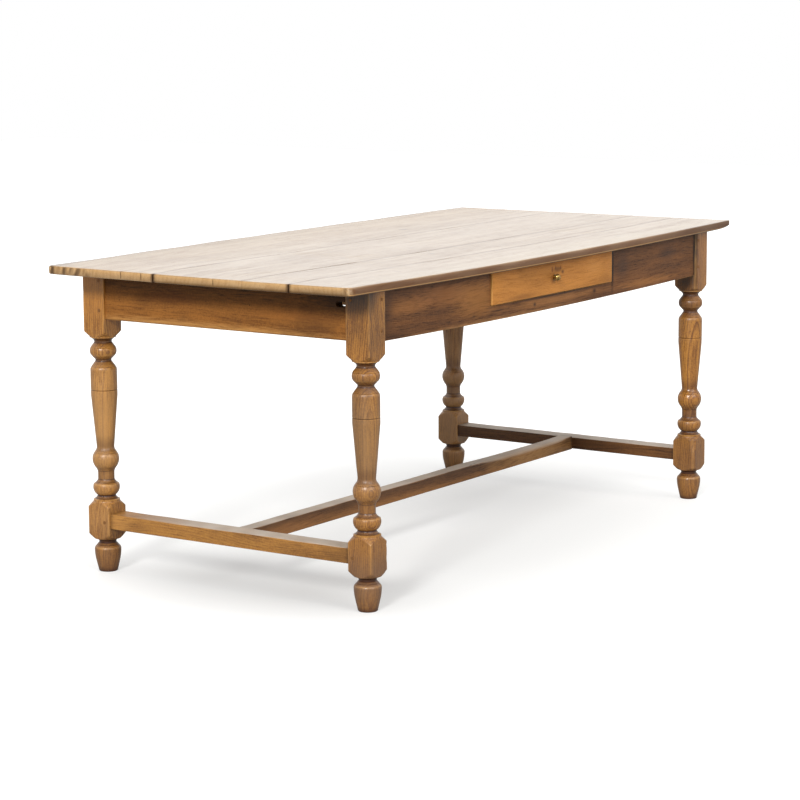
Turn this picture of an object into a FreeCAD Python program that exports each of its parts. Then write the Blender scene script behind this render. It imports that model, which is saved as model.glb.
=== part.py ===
import FreeCAD, Part
import os
import Sketcher

# A farmhouse dining table with turned legs, an H of stretchers and one drawer.
# X runs along the table, Y across it and Z up. The origin is on the floor under the middle of the
# table. The drawer opens towards -Y.

# Driving dimensions in millimetres: name, value, meaning.
SIZES = [
    # the top
    ("table_height", 760, "floor to the upper face of the top"),
    ("top_length", 1810, "length of the planks"),
    ("top_width", 880, "width across all planks"),
    ("top_thickness", 20, "thickness of the planks"),
    ("front_plank_width", 171, "plank over the drawer"),
    ("second_plank_width", 130, "narrow plank behind it"),
    ("middle_plank_width", 257, "third plank; the back plank is what remains"),
    ("plank_gap", 1.5, "open seam between two planks"),
    ("corner_radius", 10, "rounding of the top's corners in plan"),
    ("top_arris", 3, "rounding of the upper edge"),
    ("under_chamfer", 5, "bevel under the long edges"),
    # where the legs stand
    ("end_overhang", 96, "top past the posts at the ends"),
    ("side_overhang", 20, "top past the posts at the sides"),
    # the leg's square blank
    ("post_width", 65, "side of the square blank"),
    ("leg_arris", 1.5, "eased corners of the blank"),
    ("worn_arris", 9, "inner corner of the front right leg, worn away"),
    ("post_length", 160, "square post at the top, with its turned shoulder"),
    ("block_length", 92, "square lower block, with both turned shoulders"),
    # the turned foot, from the floor up
    ("foot_base_radius", 23, "where the foot meets the floor"),
    ("foot_toe", 1.5, "eased edge on the floor"),
    ("foot_flare", 33, "straight flare above the floor"),
    ("foot_flare_radius", 30.3, "top of the flare"),
    ("foot_belly", 22, "from the flare to the widest place"),
    ("foot_belly_radius", 32.3, "widest place of the foot"),
    ("foot_round", 5.7, "rounded top of the foot"),
    ("foot_round_radius", 30.8, "end of that round"),
    ("foot_slope", 11.5, "slope from there to the neck"),
    ("foot_neck", 1.8, "neck under the block"),
    ("foot_neck_radius", 20.8, "its radius"),
    ("block_cove", 6.5, "hollow from that neck to the block"),
    ("block_cove_radius", 9, "radius of that hollow"),
    ("block_fillet", 1.5, "straight band under the block"),
    # the turned stem above the block, from below
    ("ring_radius", 32, "rings beside the square parts"),
    ("block_ring", 5, "ring on the block"),
    ("ring_cove", 8.5, "hollow from a ring to its neck"),
    ("cove_radius", 18, "radius of that hollow"),
    ("block_neck", 2, "neck over the block"),
    ("block_neck_radius", 22.2, "its radius"),
    ("low_bead_rise", 19.5, "lower bead, from its foot to its widest place"),
    ("low_bead_fall", 8.5, "lower bead, from there to the end of its round"),
    ("low_bead_edge_radius", 30.8, "end of that round"),
    ("low_bead_slope", 11, "hollow slope from there to the next neck"),
    ("low_bead_slope_radius", 22, "radius of that slope"),
    ("low_bead_radius", 32.4, "widest place of the lower bead"),
    ("low_neck", 15.5, "neck between lower bead and collar"),
    ("low_neck_radius", 20, "its radius"),
    ("collar_cove", 15, "hollow under the collar"),
    ("collar_waist_radius", 26, "where the hollow turns into the collar"),
    ("collar_rise", 20, "collar, from there to its widest place"),
    ("collar_radius", 32.4, "widest place of the collar"),
    ("collar_fall", 20, "collar, from there to its upper edge"),
    ("collar_edge_radius", 24.5, "upper edge of the collar"),
    ("taper_cove", 10, "hollow above the collar"),
    ("taper_foot_radius", 21.2, "thin end of the long taper"),
    ("vase_length", 61.5, "straight part above the taper"),
    ("vase_radius", 32.2, "its radius"),
    ("scribe_height", 13, "scored line above the taper"),
    ("scribe_depth", 1.2, "depth of the scored line, and half its width"),
    ("vase_shoulder", 8, "rounded shoulder of the vase"),
    ("vase_shoulder_radius", 29.8, "end of that shoulder"),
    ("vase_neck_slope", 14, "cone from the shoulder to the neck"),
    ("high_neck", 4, "neck under the upper bead"),
    ("high_neck_radius", 19.5, "its radius"),
    ("high_bead_half", 9.3, "half the rounded length of the upper bead"),
    ("high_bead_radius", 32.4, "widest place of the upper bead"),
    ("high_bead_edge_radius", 30.3, "ends of that round"),
    ("high_bead_slope", 11.4, "slopes from the round to the necks"),
    ("post_neck", 4, "neck over the upper bead"),
    ("post_neck_radius", 21.4, "its radius"),
    ("post_ring", 2.5, "ring under the post"),
    # the aprons and their joints
    ("apron_height", 116, "height of the four aprons"),
    ("apron_thickness", 24, "thickness of the four aprons"),
    ("apron_setback", 6, "aprons behind the outer faces of the posts"),
    ("apron_arris", 3, "bevel along the lower outer edge"),
    ("tenon_thickness", 10, "thickness of the apron tenons"),
    ("tenon_length", 28, "length of the apron tenons"),
    ("tenon_shoulder", 8, "shoulder over and under the apron tenons"),
    ("tenon_room", 1, "empty depth of a mortise past its tenon"),
    ("peg_diameter", 8, "wooden pegs through the tenons"),
    ("peg_fit", 0.1, "pegs and screws are this much smaller in radius than their holes"),
    ("peg_inset", 14, "peg from the shoulder of its tenon"),
    ("peg_edge", 14, "peg from the edge of its tenon"),
    ("peg_depth", 40, "apron peg in the post"),
    ("peg_proud", 0.8, "peg heads stand out of the wood"),
    ("old_hole_length", 28, "old oblong hole through the left end apron"),
    ("old_hole_height", 12.5, "its height"),
    ("old_hole_inset", 1.5, "its end from the front post"),
    ("old_hole_drop", 34, "its centre under the top"),
    # the stretchers
    ("stretcher_width", 54, "width of the end stretchers"),
    ("stretcher_height", 36, "height of the end stretchers"),
    ("stretcher_drop", 2, "end stretchers under the middle of the block"),
    ("stretcher_bevel", 4, "worn upper corners of the end stretchers"),
    ("long_stretcher_width", 41, "width of the long stretcher"),
    ("long_stretcher_height", 32, "height of the long stretcher"),
    ("long_stretcher_drop", 3, "top of the long stretcher under the end stretchers"),
    ("long_stretcher_bevel", 5, "worn upper corners of the long stretcher"),
    ("stretcher_tenon_thickness", 16, "thickness of the stretcher tenons"),
    ("stretcher_tenon_length", 34, "length of the stretcher tenons"),
    ("stretcher_tenon_shoulder", 6, "shoulder over and under the stretcher tenons"),
    ("stretcher_peg_depth", 52, "peg through the end stretcher's tenon"),
    # the drawer
    ("drawer_width", 577, "width of the drawer front"),
    ("drawer_depth", 480, "drawer from front to back"),
    ("drawer_gap", 1.5, "gap round the drawer front"),
    ("drawer_proud", 4, "drawer front in front of the apron"),
    ("drawer_rail", 27, "apron left under the drawer"),
    ("drawer_front_thickness", 22, "thickness of the drawer front"),
    ("drawer_side_thickness", 12, "thickness of the drawer sides"),
    ("drawer_back_thickness", 12, "thickness of the drawer back"),
    ("drawer_bottom_thickness", 8, "thickness of the drawer bottom"),
    ("drawer_headroom", 8, "drawer sides under the top"),
    ("bottom_height", 8, "drawer bottom over the lower edge of the sides"),
    ("bottom_groove", 6, "depth of the grooves that hold the bottom"),
    ("bottom_fit", 0.5, "drawer bottom from the ends of its grooves"),
    ("front_tail_length", 16, "dovetails in the drawer front"),
    ("tail_root", 14, "narrow end of a dovetail"),
    ("tail_flare", 3, "each dovetail widens by this on both sides"),
    ("tail_edge", 18, "middle of a front dovetail from the edge of the side"),
    ("slide_clearance", 0.3, "drawer from its runners and stops"),
    ("runner_ledge", 30, "runner ledge under the drawer side"),
    ("runner_depth", 22, "runner under its ledge"),
    ("guide_thickness", 18, "runner beside the drawer"),
    ("guide_height", 25, "guide over the ledge"),
    ("runner_tenon_length", 10, "stub tenons of the runners"),
    ("runner_tenon_height", 14, "their height"),
    ("stop_length", 25, "stop blocks on the runners"),
    ("stop_height", 15, "their height"),
    # the brass knob
    ("knob_drop", 2.5, "knob under the middle of the drawer front"),
    ("knob_radius", 9, "widest place of the knob"),
    ("knob_projection", 17, "knob in front of the wood"),
    ("knob_dome", 8, "round end of the knob"),
    ("knob_neck_radius", 4, "neck of the knob"),
    ("rose_radius", 7, "round foot of the knob"),
    ("rose_thickness", 2, "its thickness"),
    ("shank_radius", 2.5, "shank through the drawer front"),
    ("shank_fit", 0.3, "hole round the shank"),
    ("shank_end", 1.5, "shank past its nut"),
    ("washer_radius", 6.5, "washer inside the drawer"),
    ("washer_thickness", 1.2, "its thickness"),
    ("nut_width", 9, "nut across its flats"),
    ("nut_thickness", 4, "its thickness"),
    ("pull_hole_radius", 2, "hole left by an older pull"),
    ("pull_hole_depth", 12, "its depth"),
    ("pull_hole_offset", 26, "it sits left of the knob by this"),
    ("pull_hole_rise", 9, "and over the knob by this"),
    # what holds the top
    ("batten_width", 60, "battens across the planks"),
    ("batten_thickness", 22, "their thickness"),
    ("batten_inset", 224, "middle of a batten from the posts of its end"),
    ("batten_room", 6, "batten ends from the aprons"),
    ("button_width", 35, "buttons along their apron"),
    ("button_length", 45, "buttons across their apron"),
    ("button_height", 18, "buttons under the top"),
    ("button_tongue", 8, "height of the tongue in the apron"),
    ("button_reach", 8, "tongue in the apron"),
    ("button_gap", 2, "button from the apron"),
    ("button_room", 1, "slot round the tongue"),
    ("button_inset", 94, "middle of a long apron's button from the post"),
    ("screw_radius", 2.2, "screws through battens and buttons"),
    ("screw_head_radius", 4.5, "their round heads"),
    ("screw_head", 2.5, "height of the heads"),
    ("screw_bite", 12, "screws in the planks"),
    ("screw_point", 5, "pointed end of a screw"),
]


class Size:
    """A length: its value now, and the sheet expression that keeps it."""

    def __init__(self, value, text):
        self.value = value
        self.text = text

    def __add__(self, other):
        other = as_size(other)
        return Size(self.value + other.value, f"({self.text} + {other.text})")

    def __sub__(self, other):
        other = as_size(other)
        return Size(self.value - other.value, f"({self.text} - {other.text})")

    def __mul__(self, other):
        other = as_size(other)
        return Size(self.value * other.value, f"({self.text} * {other.text})")

    def __truediv__(self, other):
        other = as_size(other)
        return Size(self.value / other.value, f"({self.text} / {other.text})")

    def __neg__(self):
        return self * -1

    __radd__ = __add__
    __rmul__ = __mul__


def as_size(number):
    """A plain number is a length that no cell changes."""
    if isinstance(number, Size):
        return number
    return Size(number, f"({number})")


def fill_sheet():
    """The sheet of driving dimensions, one row each, and the lengths read from it."""
    sheet = doc.addObject("Spreadsheet::Sheet", "Sizes")
    lengths = {}
    for row, (name, value, meaning) in enumerate(SIZES, start=1):
        sheet.set(f"A{row}", name)
        sheet.set(f"B{row}", str(value))
        sheet.set(f"C{row}", meaning)
        sheet.setAlias(f"B{row}", name)
    doc.recompute()
    for name, value, meaning in SIZES:
        lengths[name] = Size(float(sheet.get(name)), f"Sizes.{name}")
    return lengths


class Lengths:
    """The driving dimensions under their own names."""

    def __init__(self, lengths):
        self.__dict__.update(lengths)


doc = FreeCAD.newDocument("farmhouse_table")
cell = Lengths(fill_sheet())
subparts = []

# Places and volumes that differ by less than these are the same.
SAME_PLACE = 1e-6
SAME_VOLUME = 1e-3


# Modelling steps shared by the sub-parts

# The plane square to each axis, and the side of it that its sketches face.
PLANES = {"X": ("YZ_Plane", 1), "Y": ("XZ_Plane", -1), "Z": ("XY_Plane", 1)}


def bind(item, name, length):
    """Tie one property of an object to the sheet."""
    item.setExpression(name, as_size(length).text)


def place(item, x=0, y=0, z=0, turn=0):
    """Put a sub-part in the table's frame, turned about the upright axis."""
    item.Placement = FreeCAD.Placement(FreeCAD.Vector(), FreeCAD.Rotation(FreeCAD.Vector(0, 0, 1), turn))
    bind(item, "Placement.Base.x", x)
    bind(item, "Placement.Base.y", y)
    bind(item, "Placement.Base.z", z)


def new_body(label):
    """An empty body that becomes the sub-part of that name."""
    body = doc.addObject("PartDesign::Body", label)
    body.Label = label
    subparts.append(body)
    return body


def new_group(label, pieces):
    """Loose identical pieces that share one name."""
    group = doc.addObject("Part::Compound", label)
    group.Label = label
    group.Links = pieces
    subparts.append(group)
    return group


def sketch_at(body, axis, position=0):
    """A sketch square to an axis: (x, y) for Z, (x, z) for Y, (y, z) for X."""
    role, facing = PLANES[axis]
    plane = next(item for item in body.Origin.OriginFeatures if item.Role == role)
    sketch = body.newObject("Sketcher::SketchObject", f"{body.Label}_sketch")
    sketch.AttachmentSupport = [(plane, "")]
    sketch.MapMode = "FlatFace"
    bind(sketch, "AttachmentOffset.Base.z", as_size(position) * facing)
    return sketch


def pin_point(sketch, geometry, end, x, y):
    """Hold one end of a line or arc at a place measured from the sketch's origin."""
    for kind, length in (("DistanceX", x), ("DistanceY", y)):
        number = sketch.addConstraint(Sketcher.Constraint(kind, -1, 1, geometry, end, length.value))
        bind(sketch, f"Constraints[{number}]", length)


def arc_between(start, end, radius, side):
    """The short arc from start to end with its centre on the left or right of the way."""
    chord = end - start
    across = FreeCAD.Vector(-chord.y, chord.x, 0).normalize()
    reach = (radius ** 2 - chord.Length ** 2 / 4) ** 0.5
    centre = (start + end) / 2 + across * (reach if side == "left" else -reach)
    first, last = (start, end) if side == "left" else (end, start)
    circle = Part.Circle(centre, FreeCAD.Vector(0, 0, 1), radius)
    return Part.ArcOfCircle(circle, circle.parameter(first), circle.parameter(last))


def outline(sketch, points):
    """Draw a closed outline. A point is (x, y), or (x, y, side, radius) where an arc leaves it."""
    places = [(as_size(point[0]), as_size(point[1])) for point in points]
    vectors = [FreeCAD.Vector(x.value, y.value, 0) for x, y in places]
    joints = []
    for index, point in enumerate(points):
        start = vectors[index]
        end = vectors[(index + 1) % len(points)]
        if len(point) == 2:
            geometry = sketch.addGeometry(Part.LineSegment(start, end))
            joints.append((geometry, 1, 2))
            continue
        side, radius = point[2], as_size(point[3])
        geometry = sketch.addGeometry(arc_between(start, end, radius.value, side))
        number = sketch.addConstraint(Sketcher.Constraint("Radius", geometry, radius.value))
        bind(sketch, f"Constraints[{number}]", radius)
        joints.append((geometry, 1, 2) if side == "left" else (geometry, 2, 1))
    for index, (geometry, start, end) in enumerate(joints):
        after, after_start, after_end = joints[(index + 1) % len(joints)]
        sketch.addConstraint(Sketcher.Constraint("Coincident", geometry, end, after, after_start))
        pin_point(sketch, geometry, start, *places[index])


def rectangle(sketch, left, right, low, high):
    """Draw an upright rectangle between its four sides."""
    outline(sketch, [(left, low), (right, low), (right, high), (left, high)])


def circles(sketch, centres, radius):
    """Draw equal circles."""
    for x, y in centres:
        x, y = as_size(x), as_size(y)
        centre = FreeCAD.Vector(x.value, y.value, 0)
        normal = FreeCAD.Vector(0, 0, 1)
        geometry = sketch.addGeometry(Part.Circle(centre, normal, radius.value))
        number = sketch.addConstraint(Sketcher.Constraint("Radius", geometry, radius.value))
        bind(sketch, f"Constraints[{number}]", radius)
        pin_point(sketch, geometry, 3, x, y)


def pad(body, axis, draw, length, position=0, toward=0):
    """Add wood: a drawn section grown both ways from its plane, or only towards + or -."""
    sketch = sketch_at(body, axis, position)
    draw(sketch)
    feature = body.newObject("PartDesign::Pad", f"{body.Label}_pad")
    feature.Profile = sketch
    bind(feature, "Length", length)
    feature.SideType = "One side" if toward else "Symmetric"
    feature.Reversed = toward * PLANES[axis][1] < 0
    doc.recompute()
    return feature


def require_cut(body, before):
    """A cut that removes nothing is a mistake in its place or direction."""
    doc.recompute()
    if body.Shape.Volume > before - SAME_VOLUME:
        raise ValueError(f"a cut in {body.Label} removes nothing")


def pocket(body, axis, draw, depth, position=0, toward=0):
    """Cut wood: a drawn section sunk both ways from its plane, or only towards + or -."""
    before = body.Shape.Volume
    sketch = sketch_at(body, axis, position)
    draw(sketch)
    feature = body.newObject("PartDesign::Pocket", f"{body.Label}_pocket")
    feature.Profile = sketch
    bind(feature, "Length", depth)
    feature.SideType = "One side" if toward else "Symmetric"
    feature.Reversed = toward * PLANES[axis][1] > 0
    require_cut(body, before)
    return feature


def turn_away(body, points):
    """Cut on the lathe: the outline, in (radius, z), is turned away about the upright axis."""
    before = body.Shape.Volume
    sketch = sketch_at(body, "Y")
    outline(sketch, points)
    feature = body.newObject("PartDesign::Groove", f"{body.Label}_groove")
    feature.Profile = sketch
    feature.ReferenceAxis = (sketch, ["V_Axis"])
    feature.Angle = 360
    require_cut(body, before)
    return feature


def dress(body, kind, size_name, length, wanted):
    """Round or bevel the edges whose middle point is wanted."""
    base = body.Tip
    names = []
    for index, edge in enumerate(base.Shape.Edges, start=1):
        middle = edge.valueAt((edge.FirstParameter + edge.LastParameter) / 2)
        if wanted(middle):
            names.append(f"Edge{index}")
    feature = body.newObject(kind, f"{body.Label}_dressing")
    feature.Base = (base, names)
    bind(feature, size_name, length)
    doc.recompute()


def swell_radius(run, fall):
    """Radius of an arc that starts along the axis and falls away by fall over run."""
    return (run * run + fall * fall) / (fall * 2)


# Places that several sub-parts share

half_post = cell.post_width / 2
leg_length = cell.table_height - cell.top_thickness
leg_x = cell.top_length / 2 - cell.end_overhang - half_post
leg_y = cell.top_width / 2 - cell.side_overhang - half_post
post_inner_x = leg_x - half_post
post_inner_y = leg_y - half_post

apron_base = leg_length - cell.apron_height
apron_offset = half_post - cell.apron_setback - cell.apron_thickness / 2
apron_x = leg_x + apron_offset
apron_y = leg_y + apron_offset
apron_inner_x = apron_x - cell.apron_thickness / 2
apron_inner_y = apron_y - cell.apron_thickness / 2
tenon_low = apron_base + cell.tenon_shoulder
tenon_high = leg_length - cell.tenon_shoulder
peg_heights = (tenon_low + cell.peg_edge, tenon_high - cell.peg_edge)
peg_radius = cell.peg_diameter / 2
peg_hole_radius = peg_radius + cell.peg_fit

block_base = (cell.foot_flare + cell.foot_belly + cell.foot_round + cell.foot_slope
              + cell.foot_neck + cell.block_cove + cell.block_fillet)
stretcher_middle = block_base + cell.block_length / 2 - cell.stretcher_drop
stretcher_tenon_half = cell.stretcher_height / 2 - cell.stretcher_tenon_shoulder
long_stretcher_top = stretcher_middle + cell.stretcher_height / 2 - cell.long_stretcher_drop
long_stretcher_middle = long_stretcher_top - cell.long_stretcher_height / 2
long_tenon_half = cell.long_stretcher_height / 2 - cell.stretcher_tenon_shoulder

half_drawer = cell.drawer_width / 2
rail_top = apron_base + cell.drawer_rail
drawer_face_y = -(apron_y + cell.apron_thickness / 2 + cell.drawer_proud)
drawer_front_inner_y = drawer_face_y + cell.drawer_front_thickness
drawer_back_y = drawer_face_y + cell.drawer_depth
front_low = rail_top + cell.drawer_gap
front_high = leg_length - cell.drawer_gap
side_low = rail_top + cell.slide_clearance
side_high = leg_length - cell.drawer_headroom
bottom_low = side_low + cell.bottom_height
bottom_high = bottom_low + cell.drawer_bottom_thickness
side_inner_x = half_drawer - cell.drawer_side_thickness
knob_z = (front_low + front_high) / 2 - cell.knob_drop

guide_x = half_drawer + cell.drawer_gap
runner_outer_x = guide_x + cell.guide_thickness
runner_inner_x = guide_x - cell.runner_ledge
runner_low = rail_top - cell.runner_depth
runner_tenon_low = runner_low + (cell.runner_depth - cell.runner_tenon_height) / 2

screw_hole_radius = cell.screw_radius + cell.peg_fit
button_slot_high = leg_length - cell.button_height + cell.button_tongue
button_slot_low = leg_length - cell.button_height - cell.button_room
button_screw_inset = cell.button_gap + cell.button_length / 2
button_x = post_inner_x - cell.button_inset
batten_x = post_inner_x - cell.batten_inset


def plank_spans():
    """Front and back edge of each plank, from the front of the table to the back."""
    widths = (cell.front_plank_width, cell.second_plank_width, cell.middle_plank_width)
    edge = -cell.top_width / 2
    spans = []
    for width in widths:
        spans.append((edge, edge + width))
        edge = edge + width + cell.plank_gap
    spans.append((edge, cell.top_width / 2))
    return spans


planks = plank_spans()
plank_middles = [(front + back) / 2 for front, back in planks]
end_button_places = (plank_middles[1], plank_middles[2])


# Legs

# The lathe clears this many half widths of the blank, which is past its corners.
CLEARED_HALF_WIDTHS = 1.5


def foot_outline(swing):
    """Waste that the lathe takes off the foot, up to the lower shoulder of the block."""
    belly = cell.foot_flare + cell.foot_belly
    top = belly + cell.foot_round
    neck = top + cell.foot_slope
    cove = neck + cell.foot_neck
    lower_arc = swell_radius(cell.foot_belly, cell.foot_belly_radius - cell.foot_flare_radius)
    upper_arc = swell_radius(cell.foot_round, cell.foot_belly_radius - cell.foot_round_radius)
    return [
        (cell.foot_base_radius - cell.foot_toe, 0),
        (cell.foot_base_radius, cell.foot_toe),
        (cell.foot_flare_radius, cell.foot_flare, "left", lower_arc),
        (cell.foot_belly_radius, belly, "left", upper_arc),
        (cell.foot_round_radius, top),
        (cell.foot_neck_radius, neck),
        (cell.foot_neck_radius, cove, "right", cell.block_cove_radius),
        (cell.ring_radius, cove + cell.block_cove),
        (cell.ring_radius, block_base),
        (half_post, block_base),
        (swing, block_base + swing - half_post),
        (swing, 0),
    ]


def stem_outline(swing):
    """Waste that the lathe takes off between the block and the post, listed upwards."""
    shoulder = swing - half_post
    block_top = block_base + cell.block_length
    ring_top = block_top + cell.block_ring
    cove_top = ring_top + cell.ring_cove
    bead_foot = cove_top + cell.block_neck
    bead = bead_foot + cell.low_bead_rise
    bead_edge = bead + cell.low_bead_fall
    low_neck = bead_edge + cell.low_bead_slope
    collar_foot = low_neck + cell.low_neck
    collar_waist = collar_foot + cell.collar_cove
    collar = collar_waist + cell.collar_rise
    collar_edge = collar + cell.collar_fall
    taper_foot = collar_edge + cell.taper_cove
    post_base = leg_length - cell.post_length
    post_cove = post_base - cell.post_ring
    post_neck = post_cove - cell.ring_cove
    high_bead_top = post_neck - cell.post_neck
    high_bead = high_bead_top - cell.high_bead_slope - cell.high_bead_half
    high_bead_foot = high_bead - cell.high_bead_half - cell.high_bead_slope
    vase_neck = high_bead_foot - cell.high_neck
    vase_slope = vase_neck - cell.vase_neck_slope
    vase_top = vase_slope - cell.vase_shoulder
    taper_top = vase_top - cell.vase_length
    scribe = taper_top + cell.scribe_height
    bead_up = swell_radius(cell.low_bead_rise, cell.low_bead_radius - cell.block_neck_radius)
    bead_down = swell_radius(cell.low_bead_fall, cell.low_bead_radius - cell.low_bead_edge_radius)
    collar_hollow = swell_radius(cell.collar_cove, cell.collar_waist_radius - cell.low_neck_radius)
    collar_up = swell_radius(cell.collar_rise, cell.collar_radius - cell.collar_waist_radius)
    collar_down = swell_radius(cell.collar_fall, cell.collar_radius - cell.collar_edge_radius)
    taper_hollow = swell_radius(cell.taper_cove, cell.collar_edge_radius - cell.taper_foot_radius)
    vase_round = swell_radius(cell.vase_shoulder, cell.vase_radius - cell.vase_shoulder_radius)
    high_round = swell_radius(cell.high_bead_half, cell.high_bead_radius - cell.high_bead_edge_radius)
    return [
        (swing, block_top - shoulder),
        (half_post, block_top),
        (cell.ring_radius, block_top),
        (cell.ring_radius, ring_top, "right", cell.cove_radius),
        (cell.block_neck_radius, cove_top),
        (cell.block_neck_radius, bead_foot, "left", bead_up),
        (cell.low_bead_radius, bead, "left", bead_down),
        (cell.low_bead_edge_radius, bead_edge, "right", cell.low_bead_slope_radius),
        (cell.low_neck_radius, low_neck),
        (cell.low_neck_radius, collar_foot, "right", collar_hollow),
        (cell.collar_waist_radius, collar_waist, "left", collar_up),
        (cell.collar_radius, collar, "left", collar_down),
        (cell.collar_edge_radius, collar_edge, "right", taper_hollow),
        (cell.taper_foot_radius, taper_foot),
        (cell.vase_radius, taper_top),
        (cell.vase_radius, scribe - cell.scribe_depth),
        (cell.vase_radius - cell.scribe_depth, scribe),
        (cell.vase_radius, scribe + cell.scribe_depth),
        (cell.vase_radius, vase_top, "left", vase_round),
        (cell.vase_shoulder_radius, vase_slope),
        (cell.high_neck_radius, vase_neck),
        (cell.high_neck_radius, high_bead_foot),
        (cell.high_bead_edge_radius, high_bead - cell.high_bead_half, "left", high_round),
        (cell.high_bead_radius, high_bead, "left", high_round),
        (cell.high_bead_edge_radius, high_bead + cell.high_bead_half),
        (cell.post_neck_radius, high_bead_top),
        (cell.post_neck_radius, post_neck, "right", cell.cove_radius),
        (cell.ring_radius, post_cove),
        (cell.ring_radius, post_base),
        (half_post, post_base),
        (swing, post_base + shoulder),
    ]


def leg_blank(sketch, front_left_corner):
    """Square section with eased corners; the corner towards -X and -Y has its own bevel."""
    ease = cell.leg_arris
    outline(sketch, [
        (front_left_corner - half_post, -half_post),
        (half_post - ease, -half_post),
        (half_post, ease - half_post),
        (half_post, half_post - ease),
        (half_post - ease, half_post),
        (ease - half_post, half_post),
        (-half_post, half_post - ease),
        (-half_post, front_left_corner - half_post),
    ])


def leg(label, side_x, side_y):
    """A leg turned from a square blank, mortised for two aprons and a stretcher, and bored for pegs."""
    body = new_body(label)
    worn = side_x > 0 and side_y < 0
    corner = cell.worn_arris if worn else cell.leg_arris
    pad(body, "Z", lambda sketch: leg_blank(sketch, corner), leg_length, toward=1)
    swing = half_post * CLEARED_HALF_WIDTHS
    turn_away(body, foot_outline(swing))
    turn_away(body, stem_outline(swing))

    half_tenon = cell.tenon_thickness / 2
    depth = cell.tenon_length + cell.tenon_room
    low, high = tenon_low, tenon_high
    long_y = side_y * apron_offset
    end_x = side_x * apron_offset
    pocket(body, "X", lambda sketch: rectangle(sketch, long_y - half_tenon, long_y + half_tenon, low, high),
           depth, position=-side_x * half_post, toward=side_x)
    pocket(body, "Y", lambda sketch: rectangle(sketch, end_x - half_tenon, end_x + half_tenon, low, high),
           depth, position=-side_y * half_post, toward=side_y)

    half_stretcher = cell.stretcher_tenon_thickness / 2
    low_stretcher = stretcher_middle - stretcher_tenon_half
    high_stretcher = stretcher_middle + stretcher_tenon_half
    pocket(body, "Y",
           lambda sketch: rectangle(sketch, -half_stretcher, half_stretcher, low_stretcher, high_stretcher),
           cell.stretcher_tenon_length + cell.tenon_room, position=-side_y * half_post, toward=side_y)

    inset = half_post - cell.peg_inset
    long_pegs = [(-side_x * inset, height) for height in peg_heights]
    end_pegs = [(-side_y * inset, height) for height in peg_heights]
    stretcher_peg = [(-side_y * inset, stretcher_middle)]
    pocket(body, "Y", lambda sketch: circles(sketch, long_pegs, peg_hole_radius),
           cell.peg_depth, position=side_y * half_post, toward=-side_y)
    pocket(body, "X", lambda sketch: circles(sketch, end_pegs, peg_hole_radius),
           cell.peg_depth, position=side_x * half_post, toward=-side_x)
    pocket(body, "X", lambda sketch: circles(sketch, stretcher_peg, peg_hole_radius),
           cell.stretcher_peg_depth, position=side_x * half_post, toward=-side_x)
    place(body, side_x * leg_x, side_y * leg_y)


# Aprons

def apron_section(sketch):
    """Section of an apron in (y, z): the outer face is towards -y and has a bevel at its foot."""
    half = cell.apron_thickness / 2
    bevel = cell.apron_arris
    outline(sketch, [
        (bevel - half, 0),
        (half, 0),
        (half, cell.apron_height),
        (-half, cell.apron_height),
        (-half, bevel),
    ])


def apron(label, half_span, button_places, x, y, turn):
    """An apron with a pegged tenon at each end and slots for the top's buttons; +y is inwards."""
    body = new_body(label)
    half_tenon = cell.tenon_thickness / 2
    reach = half_span + cell.tenon_length
    pad(body, "X", apron_section, half_span * 2)
    pad(body, "X", lambda sketch: rectangle(sketch, -half_tenon, half_tenon, cell.tenon_shoulder,
                                            cell.apron_height - cell.tenon_shoulder), reach * 2)
    pegs = [(end * (half_span + cell.peg_inset), height - apron_base)
            for end in (-1, 1) for height in peg_heights]
    pocket(body, "Y", lambda sketch: circles(sketch, pegs, peg_hole_radius), cell.apron_thickness)
    pocket(body, "Y", lambda sketch: button_slots(sketch, button_places),
           cell.button_reach + cell.button_room, position=cell.apron_thickness / 2, toward=-1)
    place(body, x, y, apron_base, turn)
    return body


def button_slots(sketch, middles):
    """Slots in an apron's inner face, where the tongues of the buttons hook in."""
    half_slot = cell.button_width / 2 + cell.button_room
    low = button_slot_low - apron_base
    high = button_slot_high - apron_base
    for middle in middles:
        rectangle(sketch, middle - half_slot, middle + half_slot, low, high)


def runner_mortises(sketch):
    """Stub mortises for the two drawer runners in the inner face of a long apron."""
    low = runner_tenon_low - apron_base
    high = low + cell.runner_tenon_height
    rectangle(sketch, -runner_outer_x, -runner_inner_x, low, high)
    rectangle(sketch, runner_inner_x, runner_outer_x, low, high)


def make_aprons():
    """Front apron notched for the drawer, back apron, and the end aprons, one with an old hole."""
    long_buttons = (-button_x, button_x)

    front = apron("apron_front", post_inner_x, long_buttons, 0, -apron_y, 0)
    pocket(front, "Y", lambda sketch: rectangle(sketch, -guide_x, guide_x, cell.drawer_rail,
                                                cell.apron_height), cell.apron_thickness)
    back = apron("apron_back", post_inner_x, long_buttons, 0, apron_y, 180)
    for body in (front, back):
        pocket(body, "Y", runner_mortises, cell.runner_tenon_length + cell.tenon_room,
               position=cell.apron_thickness / 2, toward=-1)

    apron("apron_end_right", post_inner_y, end_button_places, apron_x, 0, 90)
    left_buttons = [-middle for middle in end_button_places]
    left = apron("apron_end_left", post_inner_y, left_buttons, -apron_x, 0, -90)
    radius = cell.old_hole_height / 2
    last = post_inner_y - cell.old_hole_inset - radius
    first = last - cell.old_hole_length + radius * 2
    middle = cell.apron_height - cell.old_hole_drop
    pocket(left, "Y", lambda sketch: oblong(sketch, first, last, middle, radius), cell.apron_thickness)


def oblong(sketch, first, last, middle, radius):
    """A lying slot with round ends, each drawn as two quarter arcs."""
    outline(sketch, [
        (first, middle - radius),
        (last, middle - radius, "left", radius),
        (last + radius, middle, "left", radius),
        (last, middle + radius),
        (first, middle + radius, "left", radius),
        (first - radius, middle, "left", radius),
    ])


# Stretchers

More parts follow.
